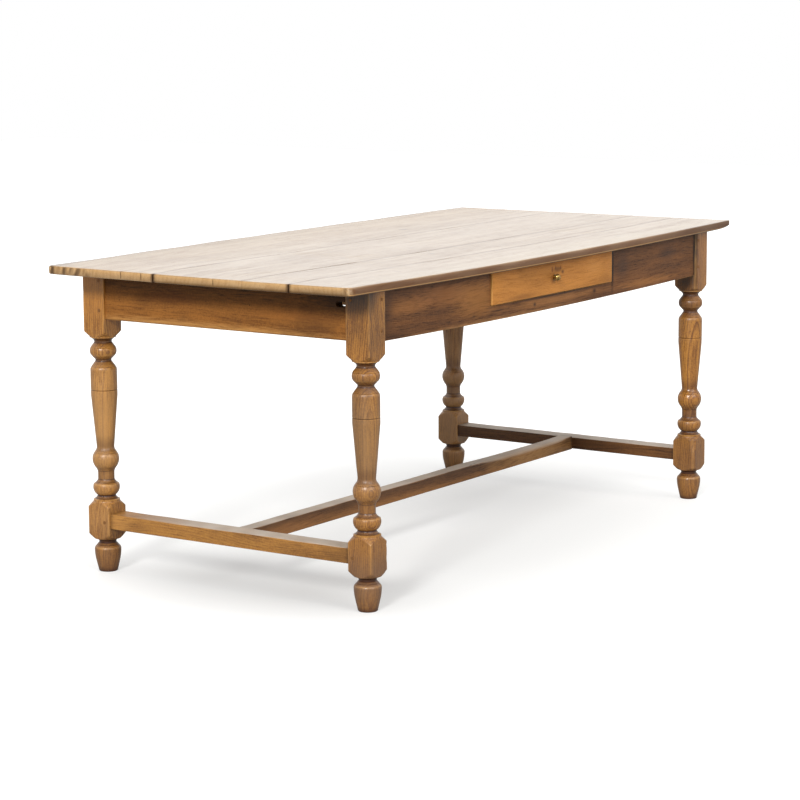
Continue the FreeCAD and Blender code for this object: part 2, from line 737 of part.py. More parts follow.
def stretcher_section(sketch, half_width, half_height, bevel):
    """Section of a stretcher in (y, z) with its upper corners worn to bevels."""
    outline(sketch, [
        (-half_width, -half_height),
        (half_width, -half_height),
        (half_width, half_height - bevel),
        (half_width - bevel, half_height),
        (bevel - half_width, half_height),
        (-half_width, half_height - bevel),
    ])


def end_stretcher(label, side_x, turn):
    """A stretcher between the blocks of one end; +y is inwards, where the long stretcher is let in."""
    body = new_body(label)
    half_width = cell.stretcher_width / 2
    half_tenon = cell.stretcher_tenon_thickness / 2
    reach = post_inner_y + cell.stretcher_tenon_length
    pad(body, "X", lambda sketch: stretcher_section(sketch, half_width, cell.stretcher_height / 2,
                                                    cell.stretcher_bevel), post_inner_y * 2)
    pad(body, "X", lambda sketch: rectangle(sketch, -half_tenon, half_tenon, -stretcher_tenon_half,
                                            stretcher_tenon_half), reach * 2)
    drop = long_stretcher_middle - stretcher_middle
    pocket(body, "Y", lambda sketch: rectangle(sketch, -half_tenon, half_tenon, drop - long_tenon_half,
                                               drop + long_tenon_half),
           cell.stretcher_tenon_length + cell.tenon_room, position=half_width, toward=-1)
    pegs = [(end * (post_inner_y + cell.peg_inset), 0) for end in (-1, 1)]
    pocket(body, "Y", lambda sketch: circles(sketch, pegs, peg_hole_radius), cell.stretcher_width)
    place(body, side_x * leg_x, 0, stretcher_middle, turn)


def long_stretcher():
    """The stretcher along the table, tenoned into the middles of the end stretchers."""
    body = new_body("stretcher_long")
    half_span = leg_x - cell.stretcher_width / 2
    half_tenon = cell.stretcher_tenon_thickness / 2
    reach = half_span + cell.stretcher_tenon_length
    pad(body, "X", lambda sketch: stretcher_section(sketch, cell.long_stretcher_width / 2,
                                                    cell.long_stretcher_height / 2,
                                                    cell.long_stretcher_bevel), half_span * 2)
    pad(body, "X", lambda sketch: rectangle(sketch, -half_tenon, half_tenon, -long_tenon_half,
                                            long_tenon_half), reach * 2)
    place(body, 0, 0, long_stretcher_middle)


# Pegs

def peg(axis, side, x, y, z, depth):
    """A round peg with its head on the side named, lying along X or Y."""
    piece = doc.addObject("Part::Cylinder", "peg")
    bind(piece, "Radius", peg_radius)
    bind(piece, "Height", depth + cell.peg_proud)
    along = FreeCAD.Vector(-side, 0, 0) if axis == "X" else FreeCAD.Vector(0, -side, 0)
    piece.Placement.Rotation = FreeCAD.Rotation(FreeCAD.Vector(0, 0, 1), along)
    bind(piece, "Placement.Base.x", x)
    bind(piece, "Placement.Base.y", y)
    bind(piece, "Placement.Base.z", z)
    return piece


def make_pegs():
    """Two pegs through each apron tenon and one through each tenon of the end stretchers."""
    apron_pegs = []
    stretcher_pegs = []
    inset = half_post - cell.peg_inset
    head = half_post + cell.peg_proud
    for side_x in (-1, 1):
        for side_y in (-1, 1):
            for height in peg_heights:
                apron_pegs.append(peg("Y", side_y, side_x * (leg_x - inset), side_y * (leg_y + head),
                                      height, cell.peg_depth))
                apron_pegs.append(peg("X", side_x, side_x * (leg_x + head), side_y * (leg_y - inset),
                                      height, cell.peg_depth))
            stretcher_pegs.append(peg("X", side_x, side_x * (leg_x + head), side_y * (leg_y - inset),
                                      stretcher_middle, cell.stretcher_peg_depth))
    new_group("apron_pegs", apron_pegs)
    new_group("stretcher_pegs", stretcher_pegs)


# Top

def plank_plan(sketch, half_length, half_width, round_sides):
    """Plan of a plank; corners are rounded on the long sides named, -1 front and 1 back."""
    radius = cell.corner_radius
    points = []
    for side_x, side_y in ((-1, -1), (1, -1), (1, 1), (-1, 1)):
        if side_y not in round_sides:
            points.append((side_x * half_length, side_y * half_width))
            continue
        on_end = (side_x * half_length, side_y * (half_width - radius))
        on_side = (side_x * (half_length - radius), side_y * half_width)
        first, second = (on_end, on_side) if side_x == side_y else (on_side, on_end)
        points += [(*first, "left", radius), second]
    outline(sketch, points)


def under_bevel(sketch, half_width, side_y):
    """Triangle cut from below along a long edge of the top, in (y, z)."""
    edge = side_y * half_width
    outline(sketch, [
        (edge, 0),
        (edge - side_y * cell.under_chamfer, 0),
        (edge, cell.under_chamfer),
    ])


def plank(label, number, round_sides, button_screws):
    """A plank of the top, bored from below for the screws of the battens and buttons."""
    body = new_body(label)
    front, back = planks[number]
    half_length = cell.top_length / 2
    half_width = (back - front) / 2
    pad(body, "Z", lambda sketch: plank_plan(sketch, half_length, half_width, round_sides),
        cell.top_thickness, toward=1)
    for side_y in round_sides:
        pocket(body, "X", lambda sketch: under_bevel(sketch, half_width, side_y), cell.top_length)
    screws = [(side * batten_x, 0) for side in (-1, 1)]
    screws += [(x, y - plank_middles[number]) for x, y in button_screws]
    pocket(body, "Z", lambda sketch: circles(sketch, screws, screw_hole_radius), cell.screw_bite, toward=1)

    def on_outer_edge(middle):
        on_top = abs(middle.z - cell.top_thickness.value) < SAME_PLACE
        seams = [side for side in (-1, 1) if side not in round_sides]
        on_seam = any(abs(middle.y - side * half_width.value) < SAME_PLACE for side in seams)
        return on_top and not on_seam

    dress(body, "PartDesign::Fillet", "Radius", cell.top_arris, on_outer_edge)
    place(body, 0, plank_middles[number], leg_length)


def make_top():
    """Four planks, each with two button screws: from the long aprons in the outer planks, else the ends."""
    long_button_y = apron_inner_y - button_screw_inset
    end_button_x = apron_inner_x - button_screw_inset
    front_screws = [(side * button_x, -long_button_y) for side in (-1, 1)]
    second_screws = [(side * end_button_x, plank_middles[1]) for side in (-1, 1)]
    middle_screws = [(side * end_button_x, plank_middles[2]) for side in (-1, 1)]
    back_screws = [(side * button_x, long_button_y) for side in (-1, 1)]
    plank("top_plank_front", 0, (-1,), front_screws)
    plank("top_plank_second", 1, (), second_screws)
    plank("top_plank_middle", 2, (), middle_screws)
    plank("top_plank_back", 3, (1,), back_screws)
    return front_screws + second_screws + middle_screws + back_screws


def batten(label, side_x):
    """A batten across the planks, between the long aprons, bored for one screw in each plank."""
    body = new_body(label)
    half_width = cell.batten_width / 2
    half_length = apron_inner_y - cell.batten_room
    pad(body, "Z", lambda sketch: rectangle(sketch, -half_width, half_width, -half_length, half_length),
        cell.batten_thickness, toward=1)
    holes = [(0, middle) for middle in plank_middles]
    pocket(body, "Z", lambda sketch: circles(sketch, holes, screw_hole_radius),
           cell.batten_thickness, toward=1)
    place(body, side_x * batten_x, 0, leg_length - cell.batten_thickness)


def screw(grip):
    """A round-headed screw that points up, with the underside of its head at its origin."""
    body = doc.addObject("PartDesign::Body", "screw")
    length = grip + cell.screw_bite
    dome = swell_radius(cell.screw_head_radius, cell.screw_head)
    sketch = sketch_at(body, "Y")
    outline(sketch, [
        (0, -cell.screw_head, "left", dome),
        (cell.screw_head_radius, 0),
        (cell.screw_radius, 0),
        (cell.screw_radius, length - cell.screw_point),
        (0, length),
    ])
    spin(body, sketch)
    return body


def spin(body, sketch):
    """Turn a section about the sketch's upright axis into a solid."""
    feature = body.newObject("PartDesign::Revolution", f"{body.Label}_turning")
    feature.Profile = sketch
    feature.ReferenceAxis = (sketch, ["V_Axis"])
    feature.Angle = 360
    doc.recompute()


def button():
    """A wooden button in (y, z): +y points away from the apron, and the tongue hooks into it."""
    body = doc.addObject("PartDesign::Body", "button")
    end = cell.button_gap + cell.button_length
    pad(body, "X", lambda sketch: outline(sketch, [
        (-cell.button_reach, -cell.button_height),
        (end, -cell.button_height),
        (end, 0),
        (cell.button_gap, 0),
        (cell.button_gap, cell.button_tongue - cell.button_height),
        (-cell.button_reach, cell.button_tongue - cell.button_height),
    ]), cell.button_width)
    pocket(body, "Z", lambda sketch: circles(sketch, [(0, button_screw_inset)], screw_hole_radius),
           cell.button_height, position=-cell.button_height, toward=1)
    return body


def copy_of(master, x, y, z, turn=0):
    """A linked copy of a repeated piece at its own place."""
    piece = doc.addObject("App::Link", f"{master.Label}_copy")
    piece.LinkedObject = master
    place(piece, x, y, z, turn)
    return piece


def make_fixings(button_screws):
    """Battens and buttons with their screws."""
    batten("top_batten_left", -1)
    batten("top_batten_right", 1)
    batten_screw = screw(cell.batten_thickness)
    screws = [copy_of(batten_screw, side * batten_x, middle, leg_length - cell.batten_thickness)
              for side in (-1, 1) for middle in plank_middles]
    new_group("batten_screws", screws)

    shape = button()
    buttons = []
    for side in (-1, 1):
        buttons.append(copy_of(shape, side * button_x, -apron_inner_y, leg_length, 0))
        buttons.append(copy_of(shape, side * button_x, apron_inner_y, leg_length, 180))
    for middle in end_button_places:
        buttons.append(copy_of(shape, -apron_inner_x, middle, leg_length, -90))
        buttons.append(copy_of(shape, apron_inner_x, middle, leg_length, 90))
    new_group("top_buttons", buttons)
    button_screw = screw(cell.button_height)
    new_group("button_screws", [copy_of(button_screw, x, y, leg_length - cell.button_height)
                                for x, y in button_screws])


# Drawer way

def runner(label, side):
    """A rebated runner: a ledge under the drawer side and a guide beside it, with stub tenons."""
    body = new_body(label)
    guide_top = rail_top + cell.guide_height
    pad(body, "Y", lambda sketch: outline(sketch, [
        (side * runner_inner_x, runner_low),
        (side * runner_outer_x, runner_low),
        (side * runner_outer_x, guide_top),
        (side * guide_x, guide_top),
        (side * guide_x, rail_top),
        (side * runner_inner_x, rail_top),
    ]), apron_inner_y * 2)
    near = side * runner_inner_x
    far = side * runner_outer_x
    tenon_top = runner_tenon_low + cell.runner_tenon_height
    pad(body, "Y", lambda sketch: rectangle(sketch, near, far, runner_tenon_low, tenon_top),
        (apron_inner_y + cell.runner_tenon_length) * 2)


def make_drawer_way():
    """Two runners, and on each a block that stops the drawer as it is pushed in."""
    runner("drawer_runner_left", -1)
    runner("drawer_runner_right", 1)
    stops = []
    for left in (runner_inner_x, -guide_x):
        stop = doc.addObject("Part::Box", "stop")
        bind(stop, "Length", guide_x - runner_inner_x)
        bind(stop, "Width", cell.stop_length)
        bind(stop, "Height", cell.stop_height)
        place(stop, left, drawer_back_y + cell.slide_clearance, rail_top)
        stops.append(stop)
    new_group("drawer_stops", stops)


# Drawer

def tail(root, tip, middle):
    """Corners of a dovetail in (y, z), from its root on one side, over the tip, to its root."""
    half_root = cell.tail_root / 2
    half_tip = half_root + cell.tail_flare
    return [
        (root, middle - half_root),
        (tip, middle - half_tip),
        (tip, middle + half_tip),
        (root, middle + half_root),
    ]


def front_tails():
    """The two dovetails that join a drawer side to the drawer front."""
    tip = drawer_front_inner_y - cell.front_tail_length
    middles = (side_low + cell.tail_edge, side_high - cell.tail_edge)
    return [tail(drawer_front_inner_y, tip, middle) for middle in middles]


def back_tail():
    """The dovetail that joins a drawer side to the drawer back."""
    middle = (bottom_high + side_high) / 2
    return tail(drawer_back_y - cell.drawer_back_thickness, drawer_back_y, middle)


def drawer_side(label, side):
    """A drawer side with its dovetails, grooved inside for the bottom."""
    body = new_body(label)
    low_tail, high_tail = front_tails()
    back_root = drawer_back_y - cell.drawer_back_thickness
    points = [
        (drawer_front_inner_y, side_low),
        (drawer_back_y, side_low),
        (drawer_back_y, bottom_high),
        (back_root, bottom_high),
        *back_tail(),
        (back_root, side_high),
        (drawer_front_inner_y, side_high),
        *reversed(high_tail),
        *reversed(low_tail),
    ]
    pad(body, "X", lambda sketch: outline(sketch, points), cell.drawer_side_thickness)
    groove_front = drawer_front_inner_y - cell.front_tail_length
    pocket(body, "X", lambda sketch: rectangle(sketch, groove_front, drawer_back_y, bottom_low, bottom_high),
           cell.bottom_groove, position=-side * cell.drawer_side_thickness / 2, toward=side)
    place(body, side * (half_drawer - cell.drawer_side_thickness / 2))


def cut_sockets(body, tails):
    """Sockets for dovetails in both ends of the drawer's front or back."""
    for side in (-1, 1):
        for points in tails:
            pocket(body, "X", lambda sketch: outline(sketch, points), cell.drawer_side_thickness,
                   position=side * half_drawer, toward=-side)


def drawer_front():
    """The drawer front with lapped dovetail sockets, bottom groove, knob hole and an old pull hole."""
    body = new_body("drawer_front")
    pad(body, "Y", lambda sketch: rectangle(sketch, -half_drawer, half_drawer, front_low, front_high),
        cell.drawer_front_thickness, position=drawer_face_y, toward=1)
    cut_sockets(body, front_tails())
    half_groove = side_inner_x + cell.bottom_groove
    pocket(body, "Y", lambda sketch: rectangle(sketch, -half_groove, half_groove, bottom_low, bottom_high),
           cell.bottom_groove, position=drawer_front_inner_y, toward=-1)
    knob_hole = [(0, knob_z)]
    pocket(body, "Y", lambda sketch: circles(sketch, knob_hole, cell.shank_radius + cell.shank_fit),
           cell.drawer_front_thickness, position=drawer_face_y, toward=1)
    pull_hole = [(-cell.pull_hole_offset, knob_z + cell.pull_hole_rise)]
    pocket(body, "Y", lambda sketch: circles(sketch, pull_hole, cell.pull_hole_radius),
           cell.pull_hole_depth, position=drawer_face_y, toward=1)


def drawer_back():
    """The drawer back, dovetailed between the sides above the bottom."""
    body = new_body("drawer_back")
    pad(body, "Y", lambda sketch: rectangle(sketch, -half_drawer, half_drawer, bottom_high, side_high),
        cell.drawer_back_thickness, position=drawer_back_y, toward=-1)
    cut_sockets(body, [back_tail()])


def drawer_bottom():
    """The bottom board, slid in from behind along the grooves."""
    body = new_body("drawer_bottom")
    half_width = side_inner_x + cell.bottom_groove - cell.bottom_fit
    front_edge = drawer_front_inner_y - cell.bottom_groove + cell.bottom_fit
    pad(body, "Z", lambda sketch: rectangle(sketch, -half_width, half_width, front_edge, drawer_back_y),
        cell.drawer_bottom_thickness, position=bottom_low, toward=1)


def knob():
    """A turned brass knob with its shank, drawn in (radius, y) about the drawer front's face."""
    body = new_body("drawer_knob")
    shank_end = (cell.drawer_front_thickness + cell.washer_thickness + cell.nut_thickness
                 + cell.shank_end)
    widest = cell.knob_dome - cell.knob_projection
    neck = widest / 2 - cell.rose_thickness / 2
    dome = swell_radius(cell.knob_radius, cell.knob_dome)
    under = cell.knob_radius - cell.knob_neck_radius
    sketch = sketch_at(body, "Z")
    outline(sketch, [
        (0, shank_end),
        (0, -cell.knob_projection, "left", dome),
        (cell.knob_radius, widest, "left", under),
        (cell.knob_neck_radius, neck),
        (cell.knob_neck_radius, -cell.rose_thickness),
        (cell.rose_radius, -cell.rose_thickness),
        (cell.rose_radius, 0),
        (cell.shank_radius, 0),
        (cell.shank_radius, shank_end),
    ])
    spin(body, sketch)
    place(body, 0, drawer_face_y, knob_z)


def knob_fastening():
    """Washer and hexagon nut on the knob's shank, inside the drawer."""
    bore = cell.shank_radius + cell.peg_fit
    washer = new_body("knob_washer")
    pad(washer, "Y", lambda sketch: circles(sketch, [(0, 0)], cell.washer_radius),
        cell.washer_thickness, toward=1)
    pocket(washer, "Y", lambda sketch: circles(sketch, [(0, 0)], bore), cell.washer_thickness, toward=1)
    place(washer, 0, drawer_front_inner_y, knob_z)

    nut = new_body("knob_nut")
    half = cell.nut_width / 2
    corner = cell.nut_width / 3 ** 0.5
    pad(nut, "Y", lambda sketch: outline(sketch, [
        (corner, 0),
        (corner / 2, half),
        (-corner / 2, half),
        (-corner, 0),
        (-corner / 2, -half),
        (corner / 2, -half),
    ]), cell.nut_thickness, toward=1)
    pocket(nut, "Y", lambda sketch: circles(sketch, [(0, 0)], bore), cell.nut_thickness, toward=1)
    place(nut, 0, drawer_front_inner_y + cell.washer_thickness, knob_z)


def save_parts():
    """Check every object and write each sub-part to its own file."""
    doc.recompute()
    for item in doc.Objects:
        if "Invalid" in item.State or "Error" in item.State:
            raise ValueError(f"{item.Label} failed: {item.State}")
    for item in subparts:
        if item.Shape.isNull() or not item.Shape.isValid():
            raise ValueError(f"{item.Label} has no valid shape")
    os.makedirs("parts", exist_ok=True)
    for item in subparts:
        item.Shape.exportStep(f"parts/{item.Label}.step")
        print(item.Label, len(item.Shape.Solids), round(item.Shape.Volume / 1000, 1), "cm3")


for name_x, side_x in (("left", -1), ("right", 1)):
    for name_y, side_y in (("front", -1), ("back", 1)):
        leg(f"leg_{name_y}_{name_x}", side_x, side_y)
make_aprons()
end_stretcher("stretcher_end_left", -1, -90)
end_stretcher("stretcher_end_right", 1, 90)
long_stretcher()
make_pegs()
make_fixings(make_top())
make_drawer_way()
drawer_front()
drawer_side("drawer_side_left", -1)
drawer_side("drawer_side_right", 1)
drawer_back()
drawer_bottom()
knob()
knob_fastening()
save_parts()
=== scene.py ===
import math

import bpy
import numpy as np
from mathutils import Matrix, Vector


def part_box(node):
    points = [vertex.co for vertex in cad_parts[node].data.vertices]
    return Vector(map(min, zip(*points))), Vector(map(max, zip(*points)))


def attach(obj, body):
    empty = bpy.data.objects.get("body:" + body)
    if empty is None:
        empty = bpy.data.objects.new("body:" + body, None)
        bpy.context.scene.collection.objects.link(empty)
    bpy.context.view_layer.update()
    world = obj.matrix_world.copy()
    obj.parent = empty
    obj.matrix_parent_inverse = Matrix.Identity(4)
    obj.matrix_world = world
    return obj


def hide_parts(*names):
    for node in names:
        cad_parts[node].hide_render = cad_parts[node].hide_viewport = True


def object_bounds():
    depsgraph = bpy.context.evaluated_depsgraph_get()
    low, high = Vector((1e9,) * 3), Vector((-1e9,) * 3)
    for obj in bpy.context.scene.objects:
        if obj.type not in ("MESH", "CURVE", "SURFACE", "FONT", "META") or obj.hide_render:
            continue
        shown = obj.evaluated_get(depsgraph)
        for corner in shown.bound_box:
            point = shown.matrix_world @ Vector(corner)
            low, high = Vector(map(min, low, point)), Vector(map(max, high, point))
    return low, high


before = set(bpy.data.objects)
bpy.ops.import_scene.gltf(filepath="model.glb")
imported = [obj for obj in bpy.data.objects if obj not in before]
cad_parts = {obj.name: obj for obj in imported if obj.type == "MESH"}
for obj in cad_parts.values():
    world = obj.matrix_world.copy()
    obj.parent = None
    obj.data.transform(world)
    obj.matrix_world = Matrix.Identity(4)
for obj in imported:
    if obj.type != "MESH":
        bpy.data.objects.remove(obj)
CAD_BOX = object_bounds()

bl_info = {
    "name": "Farmhouse dining table",
    "version": (1, 0, 0),
    "blender": (4, 5, 0),
    "location": "View3D > Sidebar > Table",
    "description": "Worn planks, turned legs and waxed wood for a farmhouse dining table",
    "category": "Object",
}

MM = 0.001


def linear(hex_colour):
    """An sRGB hex colour as linear red, green, blue and alpha."""
    srgb = np.array([int(hex_colour[place:place + 2], 16) for place in (1, 3, 5)]) / 255
    low = srgb / 12.92
    high = ((srgb + 0.055) / 1.055) ** 2.4
    return (*np.where(srgb <= 0.04045, low, high).tolist(), 1.0)


def colour_property(name, description, hex_colour):
    """A colour that the panel shows, with its default written as sRGB hex."""
    return bpy.props.FloatVectorProperty(name=name, description=description, subtype="COLOR", size=4,
                                         min=0, max=1, default=linear(hex_colour))


def length_property(name, description, millimetres):
    """A length that the panel shows, with its default written in millimetres."""
    return bpy.props.FloatProperty(name=name, description=description, unit="LENGTH", subtype="DISTANCE",
                                   min=0, default=millimetres * MM)


def strength_property(name, description, strength):
    """A light's strength that the panel shows."""
    return bpy.props.FloatProperty(name=name, description=description, min=0, default=strength)


# Sizes and colours that a user would change

class TopLook(bpy.types.PropertyGroup):
    """Wear and colours of the plank top."""
    light: colour_property("Light wood", "Early wood of the planks", "#CDB089")
    dark: colour_property("Dark wood", "Late wood of the planks", "#927354")
    edge: colour_property("Edge", "Brown wax on the long outer edges", "#5C3412")
    seam_opening: length_property("Open seam", "How far a seam gapes where it has opened", 3.0)
    arris: length_property("Worn arris", "Rounding of the outer upper edge", 6.5)
    ripple: length_property("Ripple", "Unevenness of the scrubbed surface", 0.25)
    dish: length_property("Dish", "How far the middle of the left end hangs down", 2.5)
    sag: length_property("Sag", "How far the front edge hangs in the middle of the table", 6.8)
    end_reach: length_property("Longer plank", "How far the back plank's left corner stands out", 9)
    corner_left: length_property("Left corners", "Plan rounding of the left corners", 12)
    corner_right: length_property("Right corners", "Plan rounding of the right corners", 5)
    end_bevel: length_property("End bevel", "How much thinner the right end is below", 8.0)
    split_width: length_property("Split width", "Width of an end split at the end of its plank", 2.2)
    split_depth: length_property("Split depth", "Depth of an end split", 12)


class LegLook(bpy.types.PropertyGroup):
    """Wear and colours of the turned legs."""
    light: colour_property("Light wood", "Early wood of the legs", "#B07934")
    dark: colour_property("Dark wood", "Late wood of the legs", "#6A3E18")
    arris: length_property("Eased arris", "Bevel of the square parts' corners", 1.3)
    worn_arris: length_property("Worn arris", "Bevel of the front right leg's worn corner", 9)
    dent: length_property("Dents", "Depth of the knocks in the wood", 0.7)
    scored_line: length_property("Scored lines", "Depth of the fine lines beside the beads", 0.8)


class StretcherLook(bpy.types.PropertyGroup):
    """Wear and colours of the stretchers."""
    light: colour_property("Light wood", "Early wood of the left stretcher", "#A87638")
    dark: colour_property("Dark wood", "Late wood of the left stretcher", "#684224")
    inner_light: colour_property("Inner light", "Early wood of the other stretchers", "#6E4826")
    inner_dark: colour_property("Inner dark", "Late wood of the other stretchers", "#362010")
    arris: length_property("Eased arris", "Rounding of the lower edges", 1.5)
    foot_wear: length_property("Foot wear", "Usual wear on the upper edges", 5)


class ApronLook(bpy.types.PropertyGroup):
    """Sag and colours of the aprons and the drawer front."""
    sag: length_property("Sag", "How far the front apron's lower edge hangs in the middle", 9.3)
    front_light: colour_property("Front light", "Early wood of the front apron", "#764A24")
    front_dark: colour_property("Front dark", "Late wood of the front apron", "#3A210C")
    end_light: colour_property("End light", "Early wood of the end aprons", "#96612B")
    end_dark: colour_property("End dark", "Late wood of the end aprons", "#5A3518")
    drawer_light: colour_property("Drawer light", "Early wood of the drawer front", "#C3823A")
    drawer_dark: colour_property("Drawer dark", "Late wood of the drawer front", "#905720")


class StageLook(bpy.types.PropertyGroup):
    """Floor, light and camera."""
    floor: colour_property("Floor", "Pale studio floor", "#AFAFAD")
    key: strength_property("Key light", "Strength of the soft light from the left", 2.6)
    front: strength_property("Front light", "Strength of the broad light over the front", 1.5)
    top: strength_property("Top light", "Strength of the wide light overhead", 0.85)
    sky: strength_property("Sky", "Strength of the even white light", 0.28)
    lens: bpy.props.FloatProperty(name="Lens", description="Focal length on a 36 mm frame", unit="CAMERA",
                                  min=1, default=119.2)


class TableLook(bpy.types.PropertyGroup):
    """All looks of the table."""
    top: bpy.props.PointerProperty(type=TopLook)
    legs: bpy.props.PointerProperty(type=LegLook)
    stretchers: bpy.props.PointerProperty(type=StretcherLook)
    aprons: bpy.props.PointerProperty(type=ApronLook)
    stage: bpy.props.PointerProperty(type=StageLook)


# Smooth number fields

def smooth_step(low, high, value):
    """0 at low, 1 at high and an S-shaped rise between: 3t^2 - 2t^3."""
    t = np.clip((value - low) / (high - low), 0, 1)
    return t * t * (3 - 2 * t)


def ripple(place, wavelength, seed):
    """A mean of five sines around one wavelength, with seeded phases: between -1 and 1."""
    draws = np.random.default_rng(seed)
    waves = wavelength * draws.uniform(0.6, 1.7, 5)
    phases = draws.uniform(0, 2 * math.pi, 5)
    turns = [2 * math.pi * place / wave + phase for wave, phase in zip(waves, phases)]
    return np.mean(np.sin(turns), axis=0)


def soft_least(first, second, width):
    """The smaller of two fields, rounded off over width where they cross."""
    blend = np.clip(0.5 + (second - first) / (2 * width), 0, 1)
    return second * (1 - blend) + first * blend - width * blend * (1 - blend)


# Meshes

def ring_faces(rings, points):
    """Quads between neighbouring rings of a closed tube."""
    ring, point = np.meshgrid(np.arange(rings - 1), np.arange(points), indexing="ij")
    after = (point + 1) % points
    corners = (ring * points + point, ring * points + after,
               (ring + 1) * points + after, (ring + 1) * points + point)
    return np.stack(corners, axis=-1).reshape(-1, 4)


def board_faces(rings, columns):
    """Outward quads of a closed board whose rings are an upper and a reversed lower chain."""
    column = np.arange(columns - 1)
    mirror = 2 * columns - 1 - column
    first = np.stack((column + 1, column, mirror, mirror - 1), axis=-1)
    last = (rings - 1) * 2 * columns + first[:, ::-1]
    return np.concatenate((ring_faces(rings, 2 * columns), first, last))[:, ::-1].tolist()


# Faces that meet at more than this keep a sharp edge.
SHARP_ANGLE = math.radians(38)


def new_piece(name, points, faces, fields, material, slot, body, replaced):
    """Put a surface and its fields into a mesh that stands for a node and rides on its body."""
    mesh = bpy.data.meshes.new(name)
    mesh.from_pydata(points.reshape(-1, 3).tolist(), [], faces)
    mesh.validate()
    for key, values in fields.items():
        vector = values.ndim == points.ndim
        attribute = mesh.attributes.new(key, "FLOAT_VECTOR" if vector else "FLOAT", "POINT")
        attribute.data.foreach_set("vector" if vector else "value",
                                   np.ascontiguousarray(values, np.float32).ravel())
    mesh.shade_smooth()
    mesh.set_sharp_from_angle(angle=SHARP_ANGLE)
    mesh.materials.append(material)
    piece = bpy.data.objects.new(name, mesh)
    bpy.context.scene.collection.objects.link(piece)
    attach(piece, body)
    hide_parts(replaced)


# Points of a rounded arris in a half section, and the place of its first column after edge and arris.
ARRIS_POINTS = 6
FIRST_COLUMN = 1 + ARRIS_POINTS


def chain(near, far, rise, arris_near, arris_far, columns, corner=ARRIS_POINTS):
    """Half of a board's section at every station: edge, rounded arris, face, rounded arris, edge.

    near, far, rise and the two radii are columns of stations; rise is measured from the middle of the
    edge and may be negative for the lower half. columns are places across the face, between 0 and 1. The
    edges are crowned by a twentieth of a millimetre. The third result tells how squarely the surface
    faces up or down: 0 on the edges, 1 on the face.
    """
    sign = np.sign(rise)
    turn = np.linspace(0, math.pi / 2, corner)[None, :]
    near_arc = near + arris_near * (1 - np.cos(turn))
    near_rise = rise - sign * arris_near * (1 - np.sin(turn))
    far_arc = (far - arris_far * (1 - np.cos(turn)))[:, ::-1]
    far_rise = (rise - sign * arris_far * (1 - np.sin(turn)))[:, ::-1]
    face = near + arris_near + (far - arris_far - near - arris_near) * columns
    start = np.broadcast_to(rise * 0.15, near.shape)
    crown = 0.05 * MM
    across = np.concatenate((near - crown, near_arc, face, far_arc, far + crown), axis=1)
    flat = np.broadcast_to(rise, face.shape)
    height = np.concatenate((start, near_rise, flat, far_rise, start), axis=1)
    level = np.concatenate(([[0]], np.sin(turn), np.ones_like(columns), np.cos(turn), [[0]]), axis=1)
    return across, height, np.broadcast_to(level, across.shape)


def end_stations(length, step, rounding, arc=5):
    """Places along a board with dense ends, and how far the end rounding cuts in at each of them."""
    turn = np.linspace(0, math.pi / 2, arc)
    half = length / 2
    tip = half - rounding * (1 - np.sin(turn))
    cut = rounding * (1 - np.cos(turn))
    inner = np.linspace(0, half - rounding, max(3, int(half / step)))[:-1]
    places = np.concatenate((inner, tip))
    cuts = np.concatenate((np.zeros(len(inner)), cut))
    return (np.concatenate((-places[::-1], places[1:]))[:, None],
            np.concatenate((cuts[::-1], cuts[1:]))[:, None])


# Nodes of the materials

def node(tree, kind, inputs=(), **settings):
    """Add a node, set its properties and fill its inputs with values or links."""
    made = tree.nodes.new(kind)
    for key, value in settings.items():
        setattr(made, key, value)
    for key, value in dict(inputs).items():
        if isinstance(value, bpy.types.NodeSocket):
            tree.links.new(value, made.inputs[key])
        else:
            made.inputs[key].default_value = value
    return made


def new_material(name):
    """An empty node material, its tree and its shader."""
    material = bpy.data.materials.new(name)
    material.use_nodes = True
    tree = material.node_tree
    tree.nodes.clear()
    shader = node(tree, "ShaderNodeBsdfPrincipled")
    node(tree, "ShaderNodeOutputMaterial", {"Surface": shader.outputs[0]})
    return material, tree, shader


def grain_place(tree, along, heart):
    """Places in the wood, in metres: along the grain, and across it from the heart of the tree.

    A piece with its own grain field uses that; a sawn part reads Object coordinates in the order that
    puts its length first.
    """
    if along is None:
        place = node(tree, "ShaderNodeAttribute", attribute_name="grain").outputs["Vector"]
    else:
        axes = node(tree, "ShaderNodeSeparateXYZ",
                    {0: node(tree, "ShaderNodeTexCoord").outputs["Object"]}).outputs
        first, second, third = (axes[letter] for letter in along)
        place = node(tree, "ShaderNodeCombineXYZ", {0: first, 1: second, 2: third}).outputs[0]
    return node(tree, "ShaderNodeVectorMath", {0: place, 1: heart}, operation="ADD").outputs[0]


def oval_distance(tree, middle, reach):
    """How far a place lies from the middle of an oval, 1 on its rim, with both given in metres."""
    off = node(tree, "ShaderNodeTexCoord").outputs["Object"]
    off = node(tree, "ShaderNodeVectorMath", {0: off, 1: middle}, operation="SUBTRACT").outputs[0]
    off = node(tree, "ShaderNodeVectorMath", {0: off, 1: reach}, operation="DIVIDE").outputs[0]
    return node(tree, "ShaderNodeVectorMath", {0: off}, operation="LENGTH").outputs["Value"]


